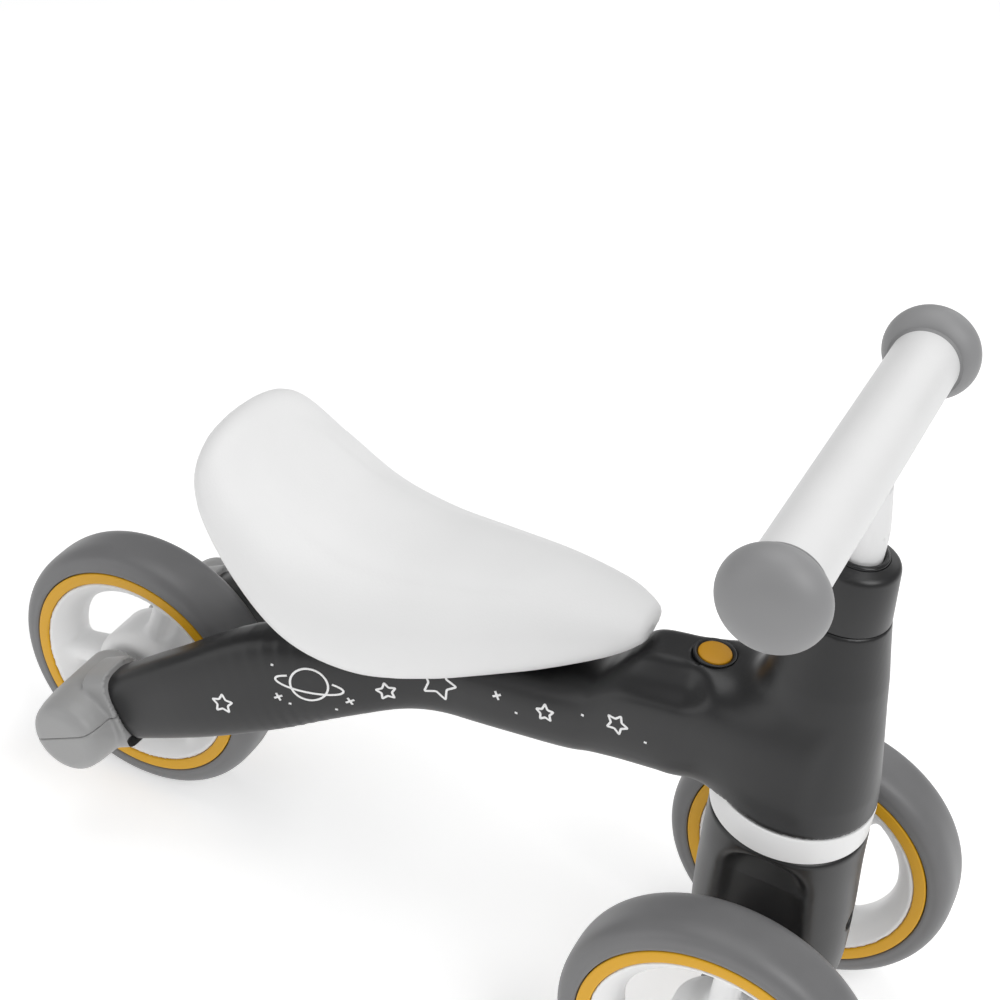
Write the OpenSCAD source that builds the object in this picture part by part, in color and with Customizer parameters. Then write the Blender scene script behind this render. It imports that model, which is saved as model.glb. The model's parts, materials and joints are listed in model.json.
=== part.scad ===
// Three-wheeled toddler balance bike: a moulded beam frame with a forked tail,
// a single rear wheel between the two rear arms, and two front wheels on a
// steering fork. +X is forwards, +Z is up, the origin lies on the floor under
// the middle of the bike.

/* [Wheels] */
// Outer radius of every wheel
wheel_r = 75; // [70:1:76]
// Width of every tyre
tyre_w = 32; // [28:1:33]
// Distance between the front and the rear axle
wheelbase = 360; // [350:2:380]
// Distance between the middle planes of the two front wheels
track = 141; // [138:1:150]
// Number of spokes in a rim
spokes = 3; // [3:1:5]

/* [Steering] */
// Height of the handlebar's axis above the floor
bar_z = 349.5; // [346:0.5:356]
// Distance between the centres of the two grip balls
bar_span = 206; // [190:2:220]
// Radius of the white handlebar tube
bar_r = 15.8; // [15:0.2:17]
// Radius of the grip balls on the bar's ends
ball_r = 22.3; // [21:0.1:24]
// How far the bike steers to each side, in degrees
steer_limit = 67.5; // [45:0.5:70]
// Radius of the white ring between the head and the fork
ring_r = 37.4; // [35:0.2:38]

/* [Saddle] */
// Half the width of the saddle at its wide rear end
saddle_half_w = 59.2; // [56:0.2:62]
// Height of the saddle's rear top above the floor
saddle_top = 262; // [259:1:265]

/* [Button] */
// Radius of the release button in front of the saddle
button_r = 7.8; // [7:0.1:8]
// Travel of the release button
button_travel = 3; // [2:0.5:4]

/* [Hidden] */

$fn = 96;
eps = 0.02;
// Gap left between pieces that move past each other
clear = 0.4;
// Radial play of a shaft in its bush
play = 0.05;

front_x = wheelbase / 2;
rear_x = -wheelbase / 2;
axle_z = wheel_r;
side_y = track / 2;
axle_r = 4;

// Steering axis and the stations up the head
steer_x = 173.6;
ring_bottom = 161;
ring_top = 176;
head_bottom = ring_top + clear;
head_joint = 278;
head_top = 308;
tube_r = 8;
bush_r = 14;
bar_x = 163.4;

// Wheel sizes, all measured from the wheel's own centre
tyre_half = tyre_w / 2;
trim_outer = wheel_r - 12;
trim_inner = trim_outer - 6.3;
seat_r = trim_outer - 3;
waist_r = 45.5;
hub_r = 24.5;
hub_half = 17;
bush_seat_r = 9;
// Turn of each wheel's spokes at rest
rear_phase = 75;
left_phase = 60;
right_phase = 90;

// Rear brackets
bracket_r = 22;
bracket_in = 21;
bracket_out = 78;
arm_rise = 30;

// ---------------------------------------------------------------- helpers
function signed_pow(v, e) = sign(v) * pow(abs(v), e);

// Catmull-Rom value between p1 and p2 at fraction f
function blend4(p0, p1, p2, p3, f) =
    0.5 * (2 * p1 + (p2 - p0) * f + (2 * p0 - 5 * p1 + 4 * p2 - p3) * f * f
           + (3 * p1 - p0 - 3 * p2 + p3) * f * f * f);

// The hand-set stations of a loft, made smooth with extra ones between them
function smooth(s, steps) =
    let (n = len(s))
    [for (k = [0 : (n - 1) * steps])
        let (i = min(floor(k / steps), n - 2), f = k / steps - i)
        blend4(s[max(i - 1, 0)], s[i], s[i + 1], s[min(i + 2, n - 1)], f)];

// One oval ring of a loft that runs along X. A station is
// [x, y, z, half width, half height, lean in degrees]
function x_ring(s, squareness, sides) =
    [for (i = [0 : sides - 1])
        let (t = 360 * i / sides,
             u = s[3] * signed_pow(cos(t), 2 / squareness),
             v = s[4] * signed_pow(sin(t), 2 / squareness))
        [s[0] - v * sin(s[5]), s[1] + u, s[2] + v * cos(s[5])]];

// One oval ring of a loft that runs up Z. A station is
// [x, y, z, half length along X, half width along Y]
function z_ring(s, squareness, sides) =
    [for (i = [0 : sides - 1])
        let (t = 360 * i / sides)
        [s[0] + s[3] * signed_pow(cos(t), 2 / squareness),
         s[1] + s[4] * signed_pow(sin(t), 2 / squareness), s[2]]];

// A closed skin over rings that all have the same number of points
module skin(rings) {
    n = len(rings);
    m = len(rings[0]);
    polyhedron(
        points = [for (r = rings) for (p = r) p],
        faces = concat(
            [[for (i = [0 : m - 1]) i]],
            [for (k = [0 : n - 2]) for (i = [0 : m - 1])
                [k * m + i, (k + 1) * m + i, (k + 1) * m + (i + 1) % m]],
            [for (k = [0 : n - 2]) for (i = [0 : m - 1])
                [k * m + i, (k + 1) * m + (i + 1) % m, k * m + (i + 1) % m]],
            [[for (i = [m - 1 : -1 : 0]) (n - 1) * m + i]]));
}

module loft_x(stations, squareness = 2.4, sides = 24, steps = 3)
    skin([for (s = smooth(stations, steps)) x_ring(s, squareness, sides)]);

module loft_z(stations, squareness = 2.4, sides = 28, steps = 3)
    skin([for (s = smooth(stations, steps)) z_ring(s, squareness, sides)]);

// A revolved solid whose axis lies along Y, from [radius, y] points
module turned(points) rotate([-90, 0, 0]) rotate_extrude() polygon(points);

module at_rear() translate([rear_x, 0, axle_z]) children();

// side is 1 for the left wheel and -1 for the right; +Y is outboard inside
module at_front(side) translate([front_x, side * side_y, axle_z]) scale_side(side) children();

module scale_side(side) {
    if (side > 0) children();
    else mirror([0, 1, 0]) children();
}

// ---------------------------------------------------------------- wheels
// Half of the tyre's section: a flat side band that rolls over into the tread
tread_steps = 10;
band_r = wheel_r - 8.5;
function tread(side) =
    [for (k = [0 : tread_steps])
        let (t = side > 0 ? 90 * k / tread_steps : 90 - 90 * k / tread_steps)
        [band_r + (wheel_r - band_r) * pow(sin(t), 0.8), side * tyre_half * pow(cos(t), 0.62)]];

module tyre() color("dimgray")
    turned(concat([[seat_r, -13], [trim_outer + 0.4, -13], [trim_outer + 0.4, -tyre_half + 0.6],
                   [trim_outer + 1, -tyre_half]],
                  [for (k = [0 : tread_steps]) tread(-1)[tread_steps - k]],
                  [for (k = [1 : tread_steps]) tread(1)[tread_steps - k]],
                  [[trim_outer + 1, tyre_half], [trim_outer + 0.4, tyre_half - 0.6],
                   [trim_outer + 0.4, 13], [seat_r, 13]]));

// Inner wall of the rim, pinched at mid width
function waist(y) = waist_r + (trim_inner - 1.6 - waist_r) * pow(abs(y) / 15.6, 2.2);
waist_steps = 8;

module rim(phase) color("white") {
    difference() {
        union() {
            turned(concat([[seat_r, -13], [seat_r, 13], [trim_inner - 0.2, 13], [trim_inner - 0.2, 15.6]],
                          [for (k = [0 : 2 * waist_steps])
                              let (y = 15.6 * (1 - k / waist_steps)) [waist(y), y]],
                          [[trim_inner - 0.2, -15.6], [trim_inner - 0.2, -13]]));
            turned([[0, -hub_half], [hub_r - 6, -hub_half], [hub_r - 1.8, -hub_half + 1.8],
                    [hub_r, -hub_half + 6], [hub_r, hub_half - 6], [hub_r - 1.8, hub_half - 1.8],
                    [hub_r - 6, hub_half], [0, hub_half]]);
            for (k = [0 : spokes - 1])
                rotate([0, -phase - 360 * k / spokes, 0])
                    translate([hub_r - 4, -8, -6]) cube([waist_r - hub_r + 6, 16, 12]);
        }
        turned([[0, -hub_half - 1], [bush_seat_r, -hub_half - 1], [bush_seat_r, -7],
                [axle_r + 1, -7], [axle_r + 1, -1], [bush_seat_r, -1], [bush_seat_r, 9],
                [12, 9], [12, hub_half + 1], [0, hub_half + 1]]);
    }
}

module trim_rings() color("goldenrod")
    for (s = [-1, 1])
        turned([[trim_inner, s * 13], [trim_outer, s * 13], [trim_outer, s * 16], [trim_inner, s * 16]]);

module bushes() color("lightgray") {
    turned([[axle_r + play, -hub_half - 1.5], [12, -hub_half - 1.5], [12, -hub_half],
            [bush_seat_r, -hub_half], [bush_seat_r, -7], [axle_r + play, -7]]);
    turned([[axle_r + play, -1], [bush_seat_r, -1], [bush_seat_r, 9], [axle_r + play, 9]]);
}

module hub_cap() color("white")
    turned([[0, 17], [9.8, 17], [9.8, 14], [12, 14], [12, 17], [15, 17], [14.4, 18.4], [11.5, 20],
            [7, 21.2], [0, 21.6]]);

// ---------------------------------------------------------------- frame
// Beam stations from the fork of the tail to the head
beam = [
    [-52, 0, 153, 20, 17, 6],
    [-25, 0, 160, 25, 18, 4],
    [10, 0, 167, 26, 19, 3],
    [50, 0, 173.2, 26, 19.4, 2],
    [84, 0, 181, 26, 21, 0],
    [97, 0, 188, 27, 26.5, 0],
    [104, 0, 196, 28, 33, 0],
    [124, 0, 196.9, 28, 31.9, 0],
    [150, 0, 202, 30, 25, 0],
    [175, 0, 203, 27, 22, 0]];
beam_top = [for (b = beam) [b[0], b[2] + b[4]]];
beam_floor = [for (b = beam) [b[0], b[2] - b[4]]];

// Left tail arm, from the rear bracket to the inside of the beam
arm = [
    [-158, 46, 90, 13, 19.5, 30],
    [-120, 44, 115, 13, 24.3, 28],
    [-75, 35, 142.5, 14, 27.5, 22],
    [-30, 20, 156, 15, 19.5, 14],
    [10, 10, 165, 12, 16, 8]];
tongue_lean = 30;
tongue = [
    [-174, 46, 80.8, 8.6, 13.6, tongue_lean],
    [-150, 46, 94.6, 8.6, 13.6, tongue_lean]];
// Head of the frame, tapering up the steering axis
head_profile = [[0, head_bottom], [36.5, head_bottom], [37.4, head_bottom + 1.5], [35.6, 190], [33.2, 205],
                [30.8, 219], [28.4, 233], [26.2, 247], [23.2, 262], [20.2, head_joint], [0, head_joint]];

button_x = 123.5;
button_z = 228.8;
bolt_at = [-20, 50];
cover_screw_x = [25, 88];
wall = 4;

// Underside cover, an oblong let into the beam's floor
belly_mid = 60;
belly_half = [46, 13];
belly_slope = 9.5;
module belly_outline(grow)
    translate([belly_mid, 0, lookup(belly_mid, beam_floor)]) rotate([0, -belly_slope, 0])
        translate([-belly_half[0] - grow, -belly_half[1] - grow, -14])
            cube([2 * (belly_half[0] + grow), 2 * (belly_half[1] + grow), 14 + wall + 2 * grow]);

module main_frame() color("#262628")
    difference() {
        union() {
            difference() {
                loft_x(beam);
                loft_x([for (b = beam) if (b[0] > -40 && b[0] < 120) b - [0, 0, 0, wall, wall, 0]]);
            }
            for (s = [-1, 1]) scale_side(s) {
                loft_x(arm);
                loft_x(tongue, squareness = 4, steps = 1);
            }
            translate([steer_x, 0, 0]) rotate_extrude() polygon(head_profile);
            for (x = bolt_at) post(x, 7);
            for (x = cover_screw_x) post(x, 5);
            post(button_x, button_r + 3);
        }
        belly_outline(0.2);
        // seat of the ring under the head
        translate([steer_x, 0, 140]) cylinder(r = ring_r + 0.6, h = head_bottom - 140);
        // bore of the head
        translate([steer_x, 0, head_bottom - 1]) cylinder(r = bush_r, h = head_joint);
        // groove that the steering stop runs in
        translate([steer_x, 0, head_bottom - 1])
            rotate([0, 0, 180 - steer_limit - stop_margin])
                rotate_extrude(angle = 2 * (steer_limit + stop_margin))
                    translate([stop_at - 3.2, 0]) square([6.4, 12]);
        // button well
        translate([button_x, 0, button_z - 5]) cylinder(r = button_r + 2.2, h = 20);
        translate([button_x, 0, button_z - 22]) cylinder(r = button_r + play, h = 30);
        // saddle bolts
        for (x = bolt_at) {
            translate([x, 0, 100]) cylinder(r = 2.6, h = 120);
            translate([x, 0, 100]) cylinder(r = 5.4, h = lookup(x, beam_top) - 18 - 100);
        }
        for (x = cover_screw_x) translate([x, 0, 100]) cylinder(r = 1.6, h = lookup(x, beam_floor) + 18 - 100);
    }

// Screw post inside the beam, from roof to floor
module post(x, r) {
    low = lookup(x, beam_floor) + 1.5;
    translate([x, 0, low]) cylinder(r = r, h = lookup(x, beam_top) - 1.5 - low);
}

module belly_cover() color("#262628")
    difference() {
        intersection() {
            loft_x(beam);
            belly_outline(0);
        }
        for (x = bolt_at) translate([x, 0, 100]) cylinder(r = 8, h = 100);
        for (x = cover_screw_x) {
            translate([x, 0, 100]) cylinder(r = 1.9, h = 100);
            translate([x, 0, 100]) cylinder(r = 3.6, h = lookup(x, beam_floor) + 1.6 - 100);
        }
    }

module cover_screws() color("silver")
    for (x = cover_screw_x) translate([x, 0, lookup(x, beam_floor)]) {
        cylinder(r = 1.5, h = 17);
        translate([0, 0, -0.2]) cylinder(r = 3.4, h = 1.7);
    }

module head_cap() color("#262628") translate([steer_x, 0, 0]) rotate_extrude()
    polygon([[12.6, head_joint - 6], [bush_r - 0.1, head_joint - 6], [bush_r - 0.1, head_joint + 0.3],
             [20, head_joint + 0.3], [19.1, 289], [17.9, 303.6], [17.2, 305.3], [15.6, 306.8], [13.2, head_top],
             [12.4, head_top], [12.4, 301], [12.6, 300]]);

module collar_ring() color("#151517") translate([steer_x, 0, 0]) rotate_extrude()
    polygon([[9.75, 302], [12.35, 302], [12.35, head_top + 0.6], [11.6, head_top + 1.6],
             [10.4, head_top + 1.6], [9.75, head_top + 1]]);

module bush_tube(z0, z1) color("lightgray") translate([steer_x, 0, z0])
    difference() {
        cylinder(r = bush_r - 0.02, h = z1 - z0);
        translate([0, 0, -1]) cylinder(r = tube_r + play, h = z1 - z0 + 2);
    }

module upper_bush() bush_tube(head_joint - 24, head_joint - 8);
module lower_bush() bush_tube(head_bottom + 1, head_bottom + 21);

// ---------------------------------------------------------------- saddle
saddle = [
    [-134.6, 0, saddle_top - 15.8, 0.1 * saddle_half_w, 3, 0],
    [-133, 0, saddle_top - 16.8, 0.365 * saddle_half_w, 11.3, 0],
    [-121.5, 0, saddle_top - 23.8, 0.75 * saddle_half_w, 23.5, 0],
    [-97, 0, saddle_top - 45.5, 0.93 * saddle_half_w, 30.3, 0],
    [-66, 0, 197.9, saddle_half_w, 33.6, 0],
    [-32, 0, 194.3, 0.954 * saddle_half_w, 34, 0],
    [5, 0, 202.6, 0.804 * saddle_half_w, 31.4, 0],
    [40, 0, 213.7, 0.639 * saddle_half_w, 25.3, 0],
    [70, 0, 223.2, 0.458 * saddle_half_w, 17, 0],
    [84.8, 0, 227.5, 0.307 * saddle_half_w, 11.3, 0],
    [92.5, 0, 230.5, 0.159 * saddle_half_w, 5.6, 0],
    [93.7, 0, 231.5, 0.053 * saddle_half_w, 1.9, 0]];
base_slope = 7;
// Room under the base's posts for the slope of the beam's roof
post_gap = 2.8;
function base_z(x) = 193 + (x + 18) * tan(base_slope);
module base_slab(grow, low) translate([-18, 0, 193]) rotate([0, -base_slope, 0])
    translate([-68 - grow, -19 - grow, -low]) cube([144 + 2 * grow, 38 + 2 * grow, low + 6 + grow]);

module seat_cushion() color("whitesmoke") difference() {
    loft_x(saddle, squareness = 2.25, sides = 32);
    base_slab(0.1, 30);
    for (x = bolt_at) translate([x, 0, 150]) cylinder(r = 9.3, h = base_z(x) - 146.7);
    // channels over the beam and the arms
    loft_x([for (b = beam) b + [0, 0, 0, 1.6, 1.6, 0]]);
    for (s = [-1, 1]) scale_side(s) loft_x([for (a = arm) a + [0, 0, 0, 1.6, 1.6, 0]]);
}

module seat_base() color("#262628") difference() {
    union() {
        base_slab(0, 0);
        for (x = bolt_at) translate([x, 0, lookup(x, beam_top) + post_gap])
            cylinder(r = 9, h = base_z(x) + 3 - post_gap - lookup(x, beam_top));
    }
    for (x = bolt_at) translate([x, 0, 150]) cylinder(r = 2.5, h = base_z(x) + 4.5 - 150);
}

module seat_bolts() color("silver") for (x = bolt_at) translate([x, 0, lookup(x, beam_top) - 18]) {
    cylinder(r = 2.4, h = base_z(x) + 22 - lookup(x, beam_top));
    translate([0, 0, -3]) cylinder(r = 5, h = 3);
}

// ---------------------------------------------------------------- release button
module button_bezel() color("#151517") translate([button_x, 0, button_z - 5 + eps]) difference() {
    cylinder(r = button_r + 2.18, h = 5.3);
    translate([0, 0, -1]) cylinder(r = button_r + play, h = 9);
}

module release_button() color("goldenrod") translate([button_x, 0, button_z - 7]) rotate_extrude()
    polygon([[0, 0], [button_r, 0], [button_r, 6.6], [button_r - 1, 7.5], [button_r - 3, 8], [0, 8.2]]);

spring_turns = 4;
module button_spring() color("silver") translate([button_x, 0, button_z - 21.6]) {
    linear_extrude(height = 14.4, twist = -360 * spring_turns, slices = 72, $fn = 10)
        translate([4.6, 0]) circle(r = 0.9);
}

// ---------------------------------------------------------------- rear bracket
rear_screw_y = [32, 68];
rear_screw_x = -12;
nut_y = 58;
module bracket_body() difference() {
    union() {
        at_rear() turned([[0, bracket_in], [bracket_r - 2, bracket_in], [bracket_r - 0.6, bracket_in + 1.2],
                          [bracket_r, bracket_in + 4], [bracket_r, bracket_out - 8],
                          [bracket_r - 0.7, bracket_out - 4], [bracket_r - 2.2, bracket_out - 1.4],
                          [bracket_r - 5, bracket_out], [0, bracket_out]]);
        loft_x([[-184, 46, 75, 13.5, 19, tongue_lean], [-168, 46, 84.2, 13.5, 19, tongue_lean]],
               squareness = 3, steps = 1);
        // collar that the arm butts against
        loft_x([[-171, 46, 82.5, 15.6, 22.5, tongue_lean], [-158.8, 46, 89.5, 15.6, 22.5, tongue_lean]],
               squareness = 4, steps = 1);
    }
    at_rear() rotate([-90, 0, 0]) cylinder(r = axle_r + eps, h = nut_y + 7);
    at_rear() translate([0, nut_y, 0]) rotate([-90, 0, 0]) cylinder(r = 7.6, h = 7);
    loft_x([[-174.6, 46, 80.45, 8.8, 13.8, tongue_lean], [-150, 46, 94.6, 8.8, 13.8, tongue_lean]],
           squareness = 4, steps = 1);
    for (y = rear_screw_y) at_rear() translate([rear_screw_x, y, -30]) {
        cylinder(r = 2.05, h = 42);
        cylinder(r = 4.2, h = 15);
    }
}

// The two halves part along the arm's own slope
module bracket(side, upper) color("gray") scale_side(side) intersection() {
    bracket_body();
    translate([rear_x, 0, axle_z + 2.2]) rotate([0, -arm_rise, 0])
        translate([-70, 0, upper ? 0.05 : -70]) cube([140, 90, 69.95]);
}
module bracket_upper_left() bracket(1, true);
module bracket_lower_left() bracket(1, false);
module bracket_upper_right() bracket(-1, true);
module bracket_lower_right() bracket(-1, false);

module bracket_screws() color("silver") for (s = [-1, 1], y = rear_screw_y)
    at_rear() translate([rear_screw_x, s * y, -15.05]) {
        cylinder(r = 2, h = 25);
        translate([0, 0, -2.6]) cylinder(r = 4, h = 2.6);
    }

module rod_y(r, half) rotate([-90, 0, 0]) translate([0, 0, -half]) cylinder(r = r, h = 2 * half);

module rear_axle() color("silver") at_rear() rod_y(axle_r, nut_y + 6.5);

module rear_axle_nuts() color("silver") for (s = [-1, 1]) at_rear() scale_side(s)
    translate([0, nut_y + 0.1, 0]) rotate([-90, 0, 0]) difference() {
        cylinder(r = 7.2, h = 5, $fn = 6);
        translate([0, 0, -1]) cylinder(r = axle_r + eps, h = 7);
    }

module rear_spacers() color("lightgray") at_rear() {
    turned([[axle_r + eps, 9 + clear], [8, 9 + clear], [8, bracket_in - eps], [axle_r + eps, bracket_in - eps]]);
    turned([[axle_r + eps, -bracket_in + eps], [8, -bracket_in + eps], [8, -hub_half - 1.5 - clear],
            [axle_r + eps, -hub_half - 1.5 - clear]]);
}

// ---------------------------------------------------------------- steering
stop_at = 24.5;
stop_margin = 6.8;
boss_face = side_y - hub_half - 1.5 - clear;
fork_stations = [
    [180, 0, 47, 13, 11],
    [180, 0, 51, 24, 17],
    [179.5, 0, 60, 33, 22],
    [179, 0, 80, 38, 27],
    [177, 0, 110, 38.6, 32],
    [175, 0, 140, 37.8, 36],
    [174.5, 0, ring_bottom, 37, 37]];

module fork() color("#262628") difference() {
    union() {
        difference() {
            loft_z(fork_stations, squareness = 2.1);
            // arched recess in each side
            for (s = [-1, 1]) scale_side(s) hull() {
                translate([176, 30, 134]) rotate([-90, 0, 0]) cylinder(r = 18, h = 12, $fn = 32);
                translate([179, 22, 78]) rotate([-90, 0, 0]) cylinder(r = 25, h = 8, $fn = 32);
            }
        }
        translate([front_x, 0, axle_z]) rod_y(18, boss_face);
    }
    translate([steer_x, 0, 96]) cylinder(r = tube_r + eps, h = 80);
    translate([front_x, 0, axle_z]) rod_y(axle_r + eps, 80);
    translate([steer_x, 0, 108]) rotate([0, 90, 0]) translate([0, 0, -60]) cylinder(r = 2.55, h = 120);
    translate([steer_x, 0, 108]) rotate([0, 90, 0]) translate([0, 0, 27]) cylinder(r = 5.2, h = 30);
    translate([steer_x, 0, 108]) rotate([0, 90, 0]) translate([0, 0, -57]) cylinder(r = 5.2, h = 30);
}

module lower_ring() color("white") difference() {
    translate([steer_x, 0, 0]) rotate_extrude()
        polygon([[tube_r + eps, ring_bottom + eps], [ring_r - 0.4, ring_bottom + eps], [ring_r, ring_bottom + 1],
                 [ring_r, ring_top - 1], [ring_r - 0.8, ring_top], [tube_r + eps, ring_top]]);
    translate([steer_x - stop_at, 0, ring_bottom + 4]) cylinder(r = 2.5 + eps, h = 20);
}

module stop_pin() color("silver")
    translate([steer_x - stop_at, 0, ring_bottom + 4 + eps]) cylinder(r = 2.5, h = 18);

module steering_tube() color("silver") translate([steer_x, 0, 97]) difference() {
    cylinder(r = tube_r, h = 225);
    translate([0, 0, -1]) cylinder(r = tube_r - 1.6, h = 227);
    translate([0, 0, 11]) rotate([0, 90, 0]) translate([0, 0, -20]) cylinder(r = 2.55, h = 40);
    translate([0, 0, 193]) rotate([0, 90, 0]) translate([0, 0, -20]) cylinder(r = 2.05, h = 40);
}

module tube_bolt() color("silver") translate([steer_x, 0, 108]) rotate([0, 90, 0]) {
    translate([0, 0, -30]) cylinder(r = 2.5, h = 57.2);
    translate([0, 0, 27.2]) cylinder(r = 4.8, h = 4);
    translate([0, 0, -31]) cylinder(r = 4.8, h = 4, $fn = 6);
}

stem_r = 9.3;
module stem() color("white") difference() {
    union() {
        translate([steer_x, 0, 284]) cylinder(r = stem_r, h = 34.1);
        loft_z([[steer_x, 0, 318, stem_r, stem_r], [steer_x - 1, 0, 324, stem_r + 0.2, stem_r + 0.2],
                [steer_x - 4, 0, 332, 10.6, 10.8], [bar_x + 3, 0, 342, 12, 13]], squareness = 2);
    }
    translate([steer_x, 0, 280]) cylinder(r = tube_r + eps, h = 42.1);
    translate([steer_x, 0, 290]) rotate([0, 90, 0]) translate([0, 0, -12]) cylinder(r = 2.05, h = 24);
    translate([bar_x, 0, bar_z]) rod_y(bar_r + eps, 40);
}

module stem_screw() color("silver")
    translate([steer_x, 0, 290]) rotate([0, 90, 0]) translate([0, 0, -stem_r]) cylinder(r = 2, h = 2 * stem_r);

bar_half = bar_span / 2;
// How far a grip ball reaches inboard of its centre
ball_reach = 11;
module tube_y(outer, inner, half) translate([bar_x, 0, bar_z]) difference() {
    rod_y(outer, half);
    rod_y(inner, half + 1);
}

module handlebar_core() color("silver") tube_y(11, 8.5, bar_half);
module handlebar_sleeve() color("white") tube_y(bar_r, 11 + eps, bar_half - ball_reach - eps);

module grip_ball(side) color("gray") translate([bar_x, 0, bar_z]) scale_side(side)
    translate([0, bar_half, 0])
        turned(concat([[0, 0.6], [11 + eps, 0.6], [11 + eps, -ball_reach], [18, -ball_reach]],
                      [for (t = [-50 : 10 : 80]) [ball_r * pow(cos(t), 0.75), t < 0 ? 13 * sin(t) : 14 * sin(t)]],
                      [[0, 14]]));
module grip_ball_left() grip_ball(1);
module grip_ball_right() grip_ball(-1);

module front_axle() color("silver") translate([front_x, 0, axle_z]) rod_y(axle_r, side_y + 15.3);

module front_axle_nuts() color("silver") for (s = [-1, 1]) at_front(s)
    translate([0, 10.1, 0]) rotate([-90, 0, 0]) difference() {
        cylinder(r = 7, h = 4.6, $fn = 6);
        translate([0, 0, -1]) cylinder(r = axle_r + eps, h = 7);
    }

module front_washers() color("silver") for (s = [-1, 1]) at_front(s)
    turned([[axle_r + eps, 9 + clear], [8, 9 + clear], [8, 10.08], [axle_r + eps, 10.08]]);

// ---------------------------------------------------------------- wheels in place
module rear_tyre() at_rear() tyre();
module rear_rim() at_rear() rim(rear_phase);
module rear_trim_rings() at_rear() trim_rings();
module rear_bushes() at_rear() bushes();
module front_left_tyre() at_front(1) tyre();
module front_left_rim() at_front(1) rim(left_phase);
module front_left_trim_rings() at_front(1) trim_rings();
module front_left_bushes() at_front(1) bushes();
module front_left_hub_cap() at_front(1) hub_cap();
module front_right_tyre() at_front(-1) tyre();
module front_right_rim() at_front(-1) rim(right_phase);
module front_right_trim_rings() at_front(-1) trim_rings();
module front_right_bushes() at_front(-1) bushes();
module front_right_hub_cap() at_front(-1) hub_cap();

main_frame();
belly_cover();
cover_screws();
head_cap();
collar_ring();
upper_bush();
lower_bush();
seat_base();
seat_cushion();
seat_bolts();
button_bezel();
release_button();
button_spring();
bracket_upper_left();
bracket_lower_left();
bracket_upper_right();
bracket_lower_right();
bracket_screws();
rear_axle();
rear_axle_nuts();
rear_spacers();
rear_tyre();
rear_rim();
rear_trim_rings();
rear_bushes();
fork();
lower_ring();
stop_pin();
steering_tube();
tube_bolt();
stem();
stem_screw();
handlebar_core();
handlebar_sleeve();
grip_ball_left();
grip_ball_right();
front_axle();
front_axle_nuts();
front_washers();
front_left_tyre();
front_left_rim();
front_left_trim_rings();
front_left_bushes();
front_left_hub_cap();
front_right_tyre();
front_right_rim();
front_right_trim_rings();
front_right_bushes();
front_right_hub_cap();
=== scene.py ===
"""Looks of a toddler balance bike: moulded frame, padded saddle, steering fork and three foam wheels.

Every size in the classes is in millimetres, in the bike's own frame: +X forwards, +Y to the rider's
left and +Z up.
"""
import json
import logging
import math
from dataclasses import dataclass
from enum import Enum
from typing import Callable, Sequence

import bpy
import numpy as np
from mathutils import Matrix, Vector


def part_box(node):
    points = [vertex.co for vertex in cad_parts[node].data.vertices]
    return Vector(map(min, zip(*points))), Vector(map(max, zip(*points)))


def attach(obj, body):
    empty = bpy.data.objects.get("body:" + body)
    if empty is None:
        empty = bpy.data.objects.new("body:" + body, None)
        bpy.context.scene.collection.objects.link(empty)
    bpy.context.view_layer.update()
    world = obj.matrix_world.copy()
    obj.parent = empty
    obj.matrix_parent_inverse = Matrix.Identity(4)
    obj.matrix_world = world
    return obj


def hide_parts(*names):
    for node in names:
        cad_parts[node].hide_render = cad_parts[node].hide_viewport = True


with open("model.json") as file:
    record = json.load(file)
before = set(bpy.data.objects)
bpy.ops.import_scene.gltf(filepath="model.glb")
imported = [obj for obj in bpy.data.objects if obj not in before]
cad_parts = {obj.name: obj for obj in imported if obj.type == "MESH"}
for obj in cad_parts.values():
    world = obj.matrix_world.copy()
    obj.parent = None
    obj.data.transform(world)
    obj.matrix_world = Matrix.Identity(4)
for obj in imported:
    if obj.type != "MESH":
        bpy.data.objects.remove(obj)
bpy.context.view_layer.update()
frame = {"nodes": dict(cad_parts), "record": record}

LOG = logging.getLogger("balance_bike")
MM = 0.001
# Stands for "well inside" where a swept solid has no end cap near
WITHIN = -4.0
Field = Callable[[np.ndarray], np.ndarray]
Point = tuple[float, float, float]


class Body(Enum):
    """The bodies that a piece can move with."""

    FRAME = "frame"
    STEERER = "steerer"
    REAR_WHEEL = "rear_wheel"
    LEFT_WHEEL = "front_wheel_left"
    RIGHT_WHEEL = "front_wheel_right"
    BUTTON = "seat_button"


# ------------------------------------------------------------------ solid fields
def soft_min(a: np.ndarray, b: np.ndarray, reach: float) -> np.ndarray:
    """Joins two distance fields with a fillet.

    Args:
        a: Distances to the first solid.
        b: Distances to the second solid.
        reach: How far the fillet spreads, in millimetres.

    Returns:
        Distances to the joined solid.
    """
    h = np.clip(0.5 + 0.5 * (b - a) / reach, 0.0, 1.0)
    return b * (1 - h) + a * h - reach * h * (1 - h)


def soft_max(a: np.ndarray, b: np.ndarray, reach: float) -> np.ndarray:
    """Distances to what two solids share, with the edge between them rounded."""
    return -soft_min(-a, -b, reach)


def capsule(p: np.ndarray, start: Point, end: Point, radius: float) -> np.ndarray:
    """Distances to a round-ended rod.

    Args:
        p: Points, one a row.
        start: Centre of one end.
        end: Centre of the other end.
        radius: The rod's radius.

    Returns:
        Signed distances, negative inside.
    """
    a = np.array(start)
    run = np.array(end) - a
    t = np.clip((p - a) @ run / (run @ run), 0.0, 1.0)
    return np.linalg.norm(p - a - t[:, None] * run, axis=1) - radius


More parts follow.
